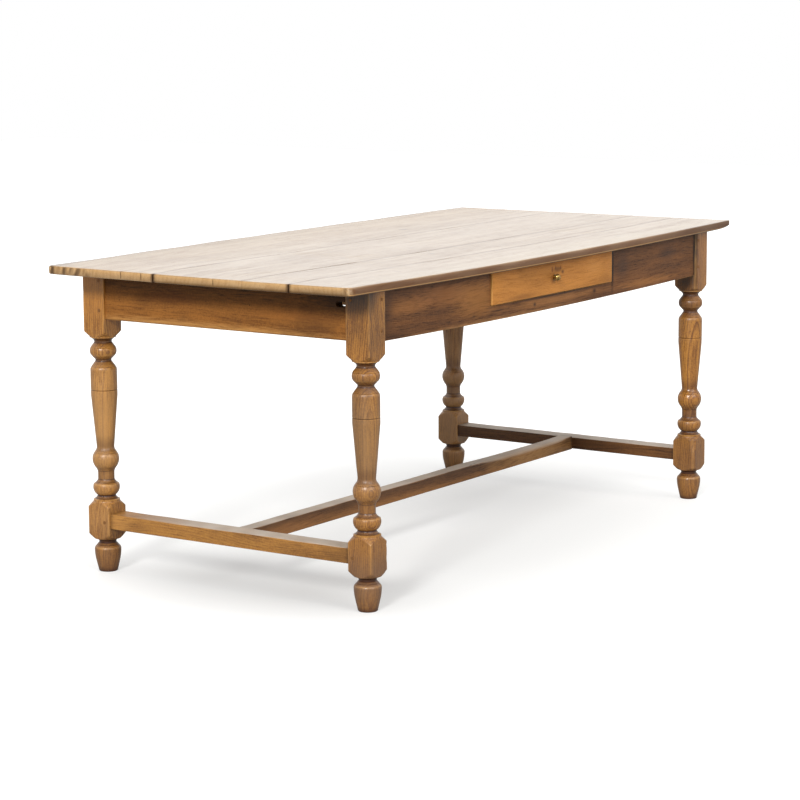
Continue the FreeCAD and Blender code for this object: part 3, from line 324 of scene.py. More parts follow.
def growth_rings(tree, place, ring, figure):
    """Rings round the heart of the tree: places as the rings bend them, how late in its ring each place
    is, and how much darker that ring's late wood is.

    The rings wander by some millimetres over each half metre, which gives the arched figure.
    """
    slow = node(tree, "ShaderNodeVectorMath", {0: place, 1: (1.6, 5, 5)}, operation="MULTIPLY").outputs[0]
    drift = node(tree, "ShaderNodeTexNoise", {"Vector": slow, "Scale": 1.0, "Detail": 2.0,
                                              "Roughness": 0.45}).outputs["Color"]
    drift = node(tree, "ShaderNodeVectorMath", {0: drift, 1: (0.5, 0.5, 0.5)},
                 operation="SUBTRACT").outputs[0]
    drift = node(tree, "ShaderNodeVectorMath", {0: drift, 1: (0, 0.075, 0.075)},
                 operation="MULTIPLY").outputs[0]
    bent = node(tree, "ShaderNodeVectorMath", {0: place, 1: drift}, operation="ADD").outputs[0]
    across = node(tree, "ShaderNodeVectorMath", {0: bent, 1: (0, 1, 1)}, operation="MULTIPLY").outputs[0]
    radius = node(tree, "ShaderNodeVectorMath", {0: across}, operation="LENGTH").outputs["Value"]
    count = node(tree, "ShaderNodeMath", {0: radius, 1: ring * MM}, operation="DIVIDE").outputs[0]
    within = node(tree, "ShaderNodeMath", {0: count}, operation="FRACT").outputs[0]
    late = node(tree, "ShaderNodeMapRange", {"Value": within, "From Min": 0.35, "From Max": 0.95},
                interpolation_type="SMOOTHSTEP").outputs[0]
    season = node(tree, "ShaderNodeTexNoise", {"W": count, "Scale": 0.55, "Detail": 3.0},
                  noise_dimensions="1D").outputs[0]
    season = node(tree, "ShaderNodeMapRange", {"Value": season, "From Min": 0.3, "From Max": 0.7,
                                               "To Max": figure}).outputs[0]
    return bent, late, season


def use_marks_and_painted_light(tree, colour, ragged, marks):
    """A colour with soft patches on it, each with its place, reach, colour and strength: marks of use,
    and painted shade, shadow and highlights.

    ragged is a noise that frays their rims.
    """
    for middle, reach, tint, strength in marks:
        off = oval_distance(tree, np.array(middle) * MM, np.array(reach) * MM)
        off = node(tree, "ShaderNodeMath", {0: ragged, 1: 1.2, 2: off},
                   operation="MULTIPLY_ADD").outputs[0]
        patch = node(tree, "ShaderNodeMapRange", {"Value": off, "From Min": 1.7, "From Max": 0.7,
                                                  "To Max": strength},
                     interpolation_type="SMOOTHSTEP").outputs[0]
        colour = node(tree, "ShaderNodeMix", {0: patch, 6: colour, 7: linear(tint)},
                      data_type="RGBA").outputs[2]
    return colour


def worm_holes(tree, colour, place, share):
    """A colour with holes 2 mm across on it, in a share of the cells 26 mm wide."""
    cells = node(tree, "ShaderNodeTexVoronoi", {"Vector": place, "Scale": 38.0})
    hole = node(tree, "ShaderNodeMapRange", {"Value": cells.outputs["Distance"], "From Min": 0.06,
                                             "From Max": 0.04}).outputs[0]
    chosen = node(tree, "ShaderNodeSeparateColor", {0: cells.outputs["Color"]}).outputs[0]
    chosen = node(tree, "ShaderNodeMath", {0: chosen, 1: share}, operation="LESS_THAN").outputs[0]
    hole = node(tree, "ShaderNodeMath", {0: hole, 1: chosen}, operation="MULTIPLY").outputs[0]
    return node(tree, "ShaderNodeMix", {0: hole, 6: colour, 7: linear("#1A100A")},
                data_type="RGBA").outputs[2]


def waxed_wood(name, light, dark, along=None, heart=(0, 0.05, 0.09), ring=9, figure=0.4, pores=0.45,
               bands=0.35, speckle=0.2, stain=0.3, worn="#C99A5C", grime="#24160E", edge=None,
               roughness=0.5, gloss=0.25, polish=0.0, worm=0.0, marks=()):
    """Old hardwood, planed or turned and waxed: growth rings cut by the surface, fine dark pores along
    the grain, a cloudy patina, pale rubbed edges with painted highlights, and dark corners where wax and
    dust have gathered, deepened by painted shade.

    ring is the width of a growth ring in millimetres. figure, pores, bands, speckle and stain say how
    strongly each of them darkens the wood, and worm is the share of places with a worm hole.
    """
    material, tree, shader = new_material(name)
    place = grain_place(tree, along, heart)
    bent, late, season = growth_rings(tree, place, ring, figure)

    # Pores are about 2 mm wide here and 60 mm long: real ones are finer than the picture can show.
    fine = node(tree, "ShaderNodeVectorMath", {0: bent, 1: (16, 430, 430)},
                operation="MULTIPLY").outputs[0]
    pore = node(tree, "ShaderNodeTexNoise", {"Vector": fine, "Scale": 1.0, "Detail": 3.0,
                                             "Roughness": 0.65}).outputs[0]
    streak = node(tree, "ShaderNodeMapRange", {"Value": pore, "From Min": 0.45, "From Max": 0.7},
                  interpolation_type="SMOOTHSTEP").outputs[0]

    # Bands of darker wood, about 20 mm wide and half a metre long.
    wide = node(tree, "ShaderNodeVectorMath", {0: bent, 1: (2.2, 55, 55)},
                operation="MULTIPLY").outputs[0]
    band = node(tree, "ShaderNodeTexNoise", {"Vector": wide, "Scale": 1.0, "Detail": 3.0}).outputs[0]
    band = node(tree, "ShaderNodeMapRange", {"Value": band, "From Min": 0.35, "From Max": 0.65,
                                             "To Max": bands}).outputs[0]

    # Speckles about 4 mm across, from flecks in the wood and specks of old wax.
    fleck = node(tree, "ShaderNodeTexNoise", {"Vector": place, "Scale": 250.0, "Detail": 4.0,
                                              "Roughness": 0.7}).outputs[0]
    fleck = node(tree, "ShaderNodeMapRange", {"Value": fleck, "From Min": 0.35, "From Max": 0.65,
                                              "To Min": -speckle, "To Max": speckle}).outputs[0]

    tone = node(tree, "ShaderNodeMath", {0: late, 1: season, 2: band},
                operation="MULTIPLY_ADD").outputs[0]
    tone = node(tree, "ShaderNodeMath", {0: tone, 1: fleck}, operation="ADD").outputs[0]
    tone = node(tree, "ShaderNodeMath", {0: streak, 1: pores, 2: tone}, operation="MULTIPLY_ADD",
                use_clamp=True).outputs[0]
    colour = node(tree, "ShaderNodeMix", {0: tone, 6: light, 7: dark}, data_type="RGBA").outputs[2]

    # Clouds of patina about 150 mm across, darker and cooler than the wood.
    broad = node(tree, "ShaderNodeVectorMath", {0: place, 1: (5, 9, 9)}, operation="MULTIPLY").outputs[0]
    cloud = node(tree, "ShaderNodeTexNoise", {"Vector": broad, "Scale": 1.0, "Detail": 5.0,
                                              "Roughness": 0.6}).outputs[0]
    cloud = node(tree, "ShaderNodeMapRange", {"Value": cloud, "From Min": 0.42, "From Max": 0.7,
                                              "To Max": stain},
                 interpolation_type="SMOOTHSTEP").outputs[0]
    colour = node(tree, "ShaderNodeMix", {0: cloud, 6: colour, 7: linear("#3A2418")},
                  data_type="RGBA").outputs[2]
    colour = use_marks_and_painted_light(tree, colour, pore, marks)

    # Brown wax on edges that are handled but never scrubbed, then rubbed wood with painted highlights,
    # then dirt with painted shade.
    for field, tint in (("edge", edge), ("wear", linear(worn)), ("grime", linear(grime))):
        if tint is not None:
            share = node(tree, "ShaderNodeAttribute", attribute_name=field).outputs["Fac"]
            colour = node(tree, "ShaderNodeMix", {0: share, 6: colour, 7: tint},
                          data_type="RGBA").outputs[2]
    if worm:
        colour = worm_holes(tree, colour, place, worm)

    # Patina and open pores are duller, and late wood stands up between the pores.
    rough = node(tree, "ShaderNodeMath", {0: cloud, 1: 0.3, 2: roughness},
                 operation="MULTIPLY_ADD").outputs[0]
    rough = node(tree, "ShaderNodeMath", {0: streak, 1: 0.08, 2: rough},
                 operation="MULTIPLY_ADD").outputs[0]
    relief = node(tree, "ShaderNodeMath", {0: streak, 1: -0.6, 2: late},
                  operation="MULTIPLY_ADD").outputs[0]
    bump = node(tree, "ShaderNodeBump", {"Height": relief, "Strength": 0.35, "Distance": 0.25 * MM})
    if along is not None:
        # Sawn edges are eased by about a millimetre.
        eased = node(tree, "ShaderNodeBevel", {"Radius": 1.2 * MM}, samples=4).outputs[0]
        tree.links.new(eased, bump.inputs["Normal"])
    for key, value in (("Base Color", colour), ("Roughness", rough), ("Normal", bump.outputs[0])):
        tree.links.new(value, shader.inputs[key])
    shader.inputs["Specular IOR Level"].default_value = gloss
    if polish:
        # Polish from cloths and hands lies on the upper face only and is thinner over open pores.
        thin = node(tree, "ShaderNodeMath", {0: tone, 1: -0.45, 2: polish},
                    operation="MULTIPLY_ADD").outputs[0]
        hand = node(tree, "ShaderNodeAttribute", attribute_name="polish").outputs["Fac"]
        coat = node(tree, "ShaderNodeMath", {0: thin, 1: hand}, operation="MULTIPLY").outputs[0]
        tree.links.new(coat, shader.inputs["Coat Weight"])
        shader.inputs["Coat Roughness"].default_value = 0.2
    return material


def old_metal(name, bright, dull, roughness, patch):
    """Cast or drawn metal, once polished: clean on the rubbed places, dull where tarnish stays.

    patch is the size of a tarnished place in millimetres.
    """
    material, tree, shader = new_material(name)
    place = node(tree, "ShaderNodeTexCoord").outputs["Object"]
    tarnish = node(tree, "ShaderNodeTexNoise", {"Vector": place, "Scale": 1 / (patch * MM), "Detail": 4.0,
                                                "Roughness": 0.65}).outputs[0]
    tarnish = node(tree, "ShaderNodeMapRange", {"Value": tarnish, "From Min": 0.4, "From Max": 0.68},
                   interpolation_type="SMOOTHSTEP").outputs[0]
    colour = node(tree, "ShaderNodeMix", {0: tarnish, 6: linear(bright), 7: linear(dull)},
                  data_type="RGBA").outputs[2]
    gloss = node(tree, "ShaderNodeMapRange", {"Value": tarnish, "To Min": roughness,
                                              "To Max": roughness + 0.3}).outputs[0]
    tree.links.new(colour, shader.inputs["Base Color"])
    tree.links.new(gloss, shader.inputs["Roughness"])
    shader.inputs["Metallic"].default_value = 1.0
    return material


def finish_nodes(material, *names):
    """Give parts that keep their solids' shape a material."""
    for name in names:
        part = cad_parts[name]
        part.data.materials.clear()
        part.data.materials.append(material)


# Top

# Splits in the left ends of the planks: plank, place across the table and length, in millimetres.
END_SPLITS = (("top_plank_back", 157, 50), ("top_plank_back", 217, 75), ("top_plank_back", 312, 40),
              ("top_plank_middle", -55, 35))

# Knots in the upper face: plank, place along and across the table and size, in millimetres.
KNOTS = (("top_plank_middle", -394, -55, 9), ("top_plank_middle", -113, -68, 7),
         ("top_plank_second", 772, -141, 7), ("top_plank_second", -191, -180, 6),
         ("top_plank_back", -745, 140, 8), ("top_plank_back", 255, 205, 10),
         ("top_plank_front", 420, -360, 7), ("top_plank_front", -560, -330, 6))

# Where each seam gapes along the table: start, stop and the run over which it closes, in millimetres.
OPEN_SEAMS = ((-910, -904, 16), (-785, -475, 60), (-910, -904, 16))

# How far the planks' corners have broken away beside each seam at the left end, in millimetres.
END_CHIPS = (0.45, 0, 0.45)

# Elsewhere the planks have moved this much closer together on either side of a seam.
SEAM_CLOSING = 0.45 * MM

# The dished left end: where it starts along the table, its middle and half span across, in millimetres.
DISH_START, DISH_MIDDLE, DISH_REACH = -780, -60, 440

# The front, which the drawer's notch weakens, has sunk: middle and half span of the sag, in millimetres.
SAG_MIDDLE, SAG_REACH = -80, 850

# First seed of the planks' wear; each plank counts on from it.
PLANK_SEED = 40


def sag_share(x):
    """How much of the deepest sag there is at a place along the table, by a parabola."""
    return 1 - ((x - SAG_MIDDLE * MM) / (SAG_REACH * MM)) ** 2


def plank_surface(name, number, look):
    """A plank: half sections, an upper and a lower one, carried along the table.

    The outer edges wander by a millimetre, seams gape in places, and each end is rounded. The left end of
    the top is dished: it hangs lower in the middle than at the corners, by a parabola across the table
    that fades out along it. The front hangs in the middle of the table and the back doesn't. The right
    end is thinner from below. Splits are slits in the upper half that close along the plank.
    """
    low, high = np.array(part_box(name))
    half = (high[2] - low[2]) / 2
    width = high[1] - low[1]
    along, end_cut = end_stations(high[0] - low[0], 9 * MM, 2.5 * MM)
    seed = PLANK_SEED + number
    front, back = name == "top_plank_front", name == "top_plank_back"

    def seam_edge(seam):
        start, stop, fade = (value * MM for value in OPEN_SEAMS[seam])
        gape = smooth_step(start - fade, start, along) * smooth_step(stop + fade, stop, along)
        chip = END_CHIPS[seam] * MM * np.exp(-((along - low[0]) / (9 * MM)) ** 2)
        return look.seam_opening / 2 * gape + chip - SEAM_CLOSING

    def outer_edge(side):
        corner = np.where(along < 0, look.corner_left, look.corner_right)
        into = np.clip(np.abs(along) - (high[0] - corner), 0, corner)
        rounding = corner - np.sqrt(corner ** 2 - into ** 2)
        return rounding + 0.9 * MM * (1 + ripple(along, 0.4, seed + side))

    near = low[1] + (end_cut + outer_edge(0) if front else seam_edge(number - 1))
    far = high[1] - (end_cut + outer_edge(1) if back else seam_edge(number))
    seam_arris = np.full_like(along, 0.5 * MM)
    outer_arris = look.arris * (1 + 0.5 * ripple(along, 0.23, seed + 2))
    outer_arris = outer_arris * (1 - 0.6 * smooth_step(0.3, 0.8, along))
    tip = np.clip((along - high[0]) / (65 * MM) + 1, 0, 1)
    floor = end_cut - half + look.end_bevel * (1 - np.sqrt(1 - tip ** 2))
    under_arris = np.minimum(5 * MM, -0.8 * floor)

    splits = [(place * MM, length * MM) for plank, place, length in END_SPLITS if plank == name]
    slit_columns = [(place - low[1]) / width for place, length in splits]
    columns = np.linspace(0, 1, max(8, int(width / (7 * MM))))[1:-1]
    columns = np.sort(np.concatenate((columns, np.repeat(slit_columns, 4))))[None, :]
    across, rise, _ = chain(near, far, half - end_cut, outer_arris if front else seam_arris,
                            outer_arris if back else seam_arris, columns)
    under, under_rise, _ = chain(near, far, floor, under_arris if front else seam_arris,
                                 under_arris if back else seam_arris, columns)
    run = np.broadcast_to(along, across.shape)
    uneven = ripple(run, 0.31, seed + 3) + 0.6 * ripple(across + 0.2 * run, 0.07, seed + 4)
    rise = rise + smooth_step(0.7 * half, half, rise) * look.ripple * uneven

    slit = np.zeros_like(across)
    for place, length in splits:
        shut = smooth_step(low[0] + length, low[0], along)
        nearest = np.argsort(np.abs(columns[0] - (place - low[1]) / width), kind="stable")[:4]
        nearest = np.sort(nearest) + FIRST_COLUMN
        spread = look.split_width * np.array([-0.5, -0.3, 0.3, 0.5])
        sway = 2 * MM * ripple(along, 0.09, seed + 5)
        across[:, nearest] = place + sway * (1 - shut) + spread * np.maximum(shut, 0.05)
        under[:, nearest] = across[:, nearest]
        rise[:, nearest[1:3]] -= look.split_depth * shut
        slit[:, nearest[1:3]] = shut

    y = np.concatenate((across, under[:, ::-1]), axis=1)
    z = np.concatenate((rise, under_rise[:, ::-1]), axis=1)
    slit = np.concatenate((slit, np.zeros_like(under)), axis=1)
    x = np.broadcast_to(along, y.shape)
    hang = smooth_step(DISH_START * MM, low[0], x)
    dish = look.dish * (((y - DISH_MIDDLE * MM) / (DISH_REACH * MM)) ** 2 - 1)
    back_edge = CAD_BOX[1][1]
    reach = look.end_reach * smooth_step(150 * MM, back_edge, y) + 0.8 * MM * ripple(y, 0.12, seed + 6)
    reach = reach * smooth_step(low[0] + 0.3, low[0], x)
    sunk = look.sag * sag_share(x) * (0.35 - 0.65 * y / back_edge)
    points = np.stack((x - reach, y, (low[2] + high[2]) / 2 + z + dish * hang - sunk), axis=-1)
    fields = plank_fields(name, number, (x, y, z), (near, far), slit)
    return points, board_faces(len(points), across.shape[1]), fields


def plank_fields(name, number, place, sides, slit):
    """Grain, rubbed wood with painted highlights, dirt with painted shade, polish and waxed edges of a
    plank, from its places, long sides and slits.
    """
    low, high = np.array(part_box(name))
    half = (high[2] - low[2]) / 2
    seed = PLANK_SEED + number
    front, back = name == "top_plank_front", name == "top_plank_back"
    x, y, z = place
    near_gap, far_gap = y - sides[0], sides[1] - y
    side_gap = np.minimum(near_gap, far_gap)
    end_gap = high[0] - np.abs(x)
    on_end = smooth_step(1.2 * MM, 0.3 * MM, end_gap)
    outer = np.where(near_gap < far_gap, front, back)
    upper = smooth_step(0.55 * half, half, z)

    # Rubbed, with painted highlights: the outer arrises; the ends' upper edges, rubbed and also a painted
    # highlight; the ends, paler towards the top as painted light; and a painted highlight low on the
    # outer edges, where the lower arris faces the floor.
    rub_and_highlight = np.max([
        0.15 * outer * smooth_step(9 * MM, 3 * MM, side_gap) * upper,
        0.4 * smooth_step(6 * MM, 1 * MM, end_gap) * upper,
        on_end * (0.35 + 0.3 * smooth_step(-half, half, z) + 0.1 * ripple(y, 0.09, seed + 7)),
        outer * smooth_step(8 * MM, 4 * MM, side_gap) * np.exp(-((z / half + 0.65) / 0.07) ** 2),
    ], axis=0)

    # Dirty, with painted shade: seams and their broken ends, undersides of the outer edges, stains on the
    # corners, the left end's upper arris, painted shade on the ends towards the underside, the back edge,
    # the right outer edges, the slits.
    chips = (0, *END_CHIPS, 0)
    broken = np.where(near_gap < far_gap, chips[number] > 0, chips[number + 1] > 0)
    broken = broken * smooth_step(low[0] + 25 * MM, low[0] + 8 * MM, x)
    stained = np.where(z > 0, ripple(y, 0.021, seed + 8), ripple(y, 0.029, seed + 9))
    corners = np.maximum(smooth_step(0.27, 0.34, y), smooth_step(-0.41, -0.43, y))
    arris_line = np.exp(-((end_gap - 0.8 * MM) / (0.5 * MM)) ** 2) * smooth_step(0, half, z)
    seams = np.maximum(0.45 * (1 - on_end), 0.9 * broken) * (1 - outer)
    dirt_and_shade = np.max([
        seams * smooth_step(1.5 * MM, 0.3 * MM, side_gap),
        0.6 * outer * smooth_step(-0.78 * half, -0.95 * half, z) * smooth_step(12 * MM, 2 * MM, side_gap),
        0.88 * on_end * smooth_step(-0.25, 0.3, stained) * corners,
        0.5 * arris_line * (x < 0),
        on_end * (0.42 + 0.25 * smooth_step(-0.1, -0.4, y)) * smooth_step(half, -half, z),
        (0.45 + 0.4 * smooth_step(-0.6, -0.8, x)) * back * upper * smooth_step(30 * MM, 3 * MM, far_gap),
        0.4 * outer * smooth_step(0.4, 0.85, x) * smooth_step(6 * MM, 2.5 * MM, side_gap),
        slit,
    ], axis=0)

    grain_across = y
    for plank, knot_x, knot_y, size in KNOTS:
        if plank == name:
            off_x, off_y = (x / MM - knot_x) / size, (y / MM - knot_y) / size
            bend = np.exp(-(off_x / 5) ** 2 - (off_y / 2.2) ** 2)
            grain_across = grain_across - 0.75 * size * MM * off_y * bend
            dirt_and_shade = np.maximum(dirt_and_shade, 0.75 * np.exp(-off_x ** 2 - off_y ** 2) * smooth_step(0, half, z))

    waxed = (0.88 + 0.1 * ripple(x, 0.2, seed + 10)) * outer * smooth_step(7 * MM, 2.5 * MM, side_gap)
    polish = smooth_step(0.93 * half, 0.99 * half, z) * (1 - on_end)
    return {
        "grain": np.stack((x + 1.7 * number, grain_across + 0.31 * number, z), axis=-1),
        "wear": np.clip(rub_and_highlight, 0, 1),
        "grime": np.clip(dirt_and_shade, 0, 1),
        "polish": polish * (1 - 0.3 * smooth_step(0.05, 0.44, y)),
        "edge": np.clip(waxed * smooth_step(low[0] + 0.5 * MM, low[0] + 4 * MM, x), 0, 1),
    }


# Legs

# Heights of fine lines that the turner scored beside the beads and the collar, in millimetres.
TURNED_LINES = (66, 218, 249.5, 293.5, 506, 535, 553)

# Half width of such a line.
LINE_HALF = 0.9 * MM

# Points round a leg, knocks on it, and the first seed of the wear, from which the legs count on by tens.
LEG_POINTS = 144
LEG_KNOCKS = 26
LEG_SEED = 70

# A whole circle in the mesh of a leg's solid has more points than this, a run-out curve has fewer.
CIRCLE_POINTS = 24


def turned_outline(points, middle, half):
    """Radius of a leg at each height, read from its solid.

    Circles as wide as the blank's half width mark the ends of the square parts. Beyond those circles the
    cut runs out at 45 degrees, so the radius there grows with the distance from the circle.
    """
    slack = 0.01 * MM
    radius = np.hypot(points[:, 0] - middle[0], points[:, 1] - middle[1])
    on_circle = np.abs(radius - half) < slack
    levels, counts = np.unique(np.round(points[on_circle, 2], 5), return_counts=True)
    foot, block, post = levels[counts > CIRCLE_POINTS][[0, 1, -1]]
    height = points[:, 2]
    turned = (height < foot + slack) | ((height > block - slack) & (height < post + slack))
    turned &= (radius < half - 0.05 * MM) & (radius > 5 * MM)
    order = np.lexsort((radius[turned], height[turned]))
    return height[turned][order], radius[turned][order], (foot, block, post)


def square_blank(angle, height, half, sizes, seed):
    """Radius of a square blank whose corners are planed off by bevels that wander along the leg.

    sizes are the bevels of the four corners, counted from +X towards +Y.
    """
    cosine, sine = np.abs(np.cos(angle)), np.abs(np.sin(angle))
    quarters = np.floor(angle / (math.pi / 2)).astype(int) % 4
    bevel = np.zeros((len(height), angle.shape[1]))
    for quarter, size in enumerate(sizes):
        bevel += (quarters == quarter) * size * (1 + 0.45 * ripple(height, 0.11, seed + quarter))
    blank = soft_least(half / np.maximum(cosine, 1e-6), half / np.maximum(sine, 1e-6), 0.4 * MM)
    return soft_least(blank, (2 * half - bevel) / (cosine + sine), 0.5 * MM)


def knocks(angle, height, half, seed):
    """Round hollows at seeded places, as a sum of bell curves that are 1 in their middles."""
    draws = np.random.default_rng(seed)
    turns = draws.uniform(0, 2 * math.pi, LEG_KNOCKS)
    heights = draws.uniform(0.01, 0.7, LEG_KNOCKS)
    sizes = draws.uniform(2.5, 6, LEG_KNOCKS) * MM
    depth = np.zeros((len(height), angle.shape[1]))
    for knock_turn, knock_height, size in zip(turns, heights, sizes):
        turn = (angle - knock_turn + math.pi) % (2 * math.pi) - math.pi
        away = (turn * half / size) ** 2 + ((height - knock_height) / (1.6 * size)) ** 2
        depth += np.exp(-away)
    return depth


def leg_surface(name, number, look):
    """A leg as radius over angle and height: the smaller of the turned outline and the square blank.

    Corners of the blank are planed off by a bevel that wanders along the leg, and knocks press shallow
    round hollows into the wood.
    """
    low, high = np.array(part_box(name))
    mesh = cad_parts[name].data
    solid = np.empty(len(mesh.vertices) * 3)
    mesh.vertices.foreach_get("co", solid)
    solid = solid.reshape(-1, 3)
    middle = (low[:2] + high[:2]) / 2
    half = (high[0] - low[0]) / 2
    levels, radii, (foot, block, post) = turned_outline(solid, middle, half)

    lines = np.array(TURNED_LINES) * MM
    beside = np.concatenate([lines + step for step in (-LINE_HALF, 0, LINE_HALF)])
    height = np.union1d(np.arange(0, high[2], 1.7 * MM), np.concatenate((levels, beside, [high[2]])))
    height = height[np.concatenate(([True], np.diff(height) > 0.12 * MM))][:, None]
    scored = np.clip(1 - np.abs(height - lines) / LINE_HALF, 0, 1).max(axis=1, keepdims=True)
    turned = np.interp(height, levels, radii) - look.scored_line * scored
    in_block = (height > foot) & (height < block)
    run_out = np.where(in_block, np.minimum(height - foot, block - height), height - post)
    turned = np.where(in_block | (height > post), half + run_out, turned)

    angle = np.linspace(0, 2 * math.pi, LEG_POINTS, endpoint=False)[None, :] + math.pi / LEG_POINTS
    seed = LEG_SEED + 10 * number
    worn = look.worn_arris if name == "leg_front_right" else look.arris
    blank = square_blank(angle, height, half, (look.arris, look.arris, worn, look.arris), seed)
    radius = soft_least(np.broadcast_to(turned, blank.shape), blank, 0.5 * MM)
    chatter = ripple(angle + 9 * height, 1.3, seed + 5) * ripple(height, 0.05, seed + 6)
    radius = radius + 0.12 * MM * chatter - look.dent * knocks(angle, height, half, seed + 7)
    height_grid = np.broadcast_to(height, radius.shape)
    across, painted_left_shadow = radius * np.cos(angle), radius * np.sin(angle)
    points = np.stack((middle[0] + across, middle[1] + painted_left_shadow, height_grid), axis=-1)

    # Crests and grooves are where the outline stands out from, or lies behind, its mean on either side.
    turned = np.broadcast_to(turned, radius.shape)
    square = smooth_step(half + 1 * MM, half + 6 * MM, turned)
    arris = np.exp(-((np.abs(np.cos(angle)) - np.abs(np.sin(angle))) / 0.1) ** 2)
    step = 2.4 * MM
    bend = np.interp(height, levels, radii) - scored * look.scored_line
    bend = bend - (np.interp(height - step, levels, radii) + np.interp(height + step, levels, radii)) / 2
    bend = bend * ((height < foot) | ((height > block) & (height < post)))
    # Crests are rubbed pale, and these pale lines are also painted highlights.
    crest = smooth_step(0.15 * MM, 0.6 * MM, bend)
    groove = smooth_step(0.15 * MM, 0.8 * MM, -bend)
    patchy = 0.6 + 0.4 * ripple(height + 0.03 * angle, 0.06, seed + 8)
    # The hollows are darker from wax gathered there and from painted shade in the coves.
    hollow = smooth_step(half - 2 * MM, half - 10 * MM, turned) * ((height < foot) | (height > block))
    taper = smooth_step(0.315, 0.345, height) * smooth_step(0.48, 0.46, height)
    floor = smooth_step(14 * MM, 1 * MM, height_grid)
    slope = 0.06 * height_grid
    fields = {
        "grain": np.stack((height_grid + 2.3 * number, across + slope, painted_left_shadow + slope), axis=-1),
        "wear": np.clip(0.3 * square * arris * patchy + 0.45 * crest * patchy, 0, 1),
        "grime": np.clip(0.4 * hollow * (1 - taper) + 0.5 * floor + 0.7 * groove, 0, 1),
    }
    rings, count = points.shape[:2]
    caps = [list(range(count))[::-1], list(range((rings - 1) * count, rings * count))]
    return points, ring_faces(rings, count).tolist() + caps, fields


# Stretchers

# Length of the tenon at either end of a stretcher, which is hidden in a leg or another stretcher.
TENON = 34 * MM

# How far the corners of each hand-sawn stretcher lie from those of the drawn one, in millimetres.
STRETCHER_SHIFT = {
    "stretcher_long": ((0, -9, -3), (0, -11, 3)),
    "stretcher_end_left": ((0, 0, 2.5), (0, 0, 3)),
    "stretcher_end_right": ((0, 0, 0), (0, 0, -3.5)),
}

# Where feet have worn a stretcher most: place along it and reach in millimetres, and how deep.
FOOT_WEAR = {
    "stretcher_long": ((330, 90, 0.9), (480, 120, 1.5), (640, 90, 1.1)),
}

# First seed of the stretchers' wear, from which they count on by tens.
STRETCHER_SEED = 120


def stretcher_surface(name, number, look):
    """A stretcher: an upper and a lower half section carried along it, worn hollow by feet.

    Wear is a rounding of the upper edges whose radius swells where feet rest, a dip of the upper face,
    and chips that bite into the outer edge.
    """
    low, high = np.array(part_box(name)) + np.array(STRETCHER_SHIFT[name]) * MM
    endways = high[1] - low[1] > high[0] - low[0]
    middle = (low + high) / 2
    size = high - low
    length = (size[1] if endways else size[0]) - 2 * TENON
    half_width = (size[0] if endways else size[1]) / 2
    half_height = size[2] / 2
    along, _ = end_stations(length, 3 * MM, 0.2 * MM, arc=2)
    seed = STRETCHER_SEED + 10 * number
    free = smooth_step(length / 2, length / 2 - 50 * MM, np.abs(along))

    foot = 0.25 + 0.4 * ripple(along, 0.5, seed) + 0.25 * ripple(along, 0.13, seed + 1)
    foot = np.clip(foot, 0.08, 1.2) * free
    back = np.clip(0.3 + 0.5 * ripple(along, 0.6, seed + 2), 0.08, 1.0) * free
    for place, reach, depth in FOOT_WEAR.get(name, ()):
        swell = depth * np.exp(-((along - place * MM) / (reach * MM)) ** 2)
        foot, back = foot + swell, back + 0.6 * swell
    chips = smooth_step(0.45, 0.75, ripple(along, 0.035, seed + 4))
    chips = chips * smooth_step(0.1, 0.4, ripple(along, 0.3, seed + 5)) * free
    outer_arris = look.arris + look.foot_wear * np.minimum(foot, 2.6) + 3 * MM * chips
    inner_arris = look.arris + 0.8 * look.foot_wear * np.minimum(back, 1.5)
    dip = 1.3 * MM * np.minimum(foot, 1.5)

    columns = np.linspace(0, 1, 7)[None, 1:-1]
    near, far = np.full_like(along, -half_width), np.full_like(along, half_width)
    base, low_arris = np.full_like(along, -half_height), np.full_like(along, look.arris)
    across, rise, level = chain(near, far, half_height - dip, outer_arris, inner_arris, columns, corner=8)
    under, under_rise, _ = chain(near, far, base, low_arris, low_arris, columns, corner=8)
    side = np.concatenate((across, under[:, ::-1]), axis=1) + 0.3 * MM * ripple(along, 0.2, seed + 3)
    lift = np.concatenate((rise, under_rise[:, ::-1]), axis=1)
    run = np.broadcast_to(along, side.shape)

    # An end stretcher's outer edge faces away from the table, the long one's faces the front.
    if endways:
        outwards = -np.sign(middle[0])
        place = (outwards * side, -outwards * run, lift)
    else:
        place = (run, side, lift)
    points = middle + np.stack(place, axis=-1)

    # The upper face is rubbed pale. The long stretcher has a tear that runs across it at a slant, and a
    # dark upper corner where feet haven't rounded it.
    rounded = smooth_step(0.7, 1.4, foot)
    top = np.concatenate((smooth_step(0.5 - 0.45 * rounded, 0.95, level), np.zeros_like(under)), axis=1)
    if name == "stretcher_end_left":
        top = top * smooth_step(-0.33, -0.05, run)
    patchy = 0.9 + 0.2 * ripple(run + 0.4 * side, 0.11, seed + 6)
    torn = side + half_width * (1 - 1.6 * smooth_step(0.2, 0.34, run))
    torn = np.exp(-(torn / (0.9 * MM)) ** 2) * smooth_step(0.2, 0.22, run) * smooth_step(0.37, 0.33, run)
    ends = smooth_step(12 * MM, 1 * MM, length / 2 - np.abs(run))
    shade = np.zeros_like(side)
    shade[:, 1:2] = 0.5 * (1 - rounded)
    long_only = (0.85 * torn * top + shade) * (name == "stretcher_long")
    fields = {
        "grain": np.stack((run + 3.1 * number, side + 0.01 * number, lift), axis=-1),
        "wear": np.clip(top * (0.85 - 0.15 * rounded) * patchy, 0, 0.92),
        "grime": np.clip(0.45 * ends + long_only, 0, 1),
    }
    return points, board_faces(len(points), across.shape[1]), fields


# Front apron and drawer front

# Rounding of the boards' edges.
BOARD_ARRIS = 1.2 * MM


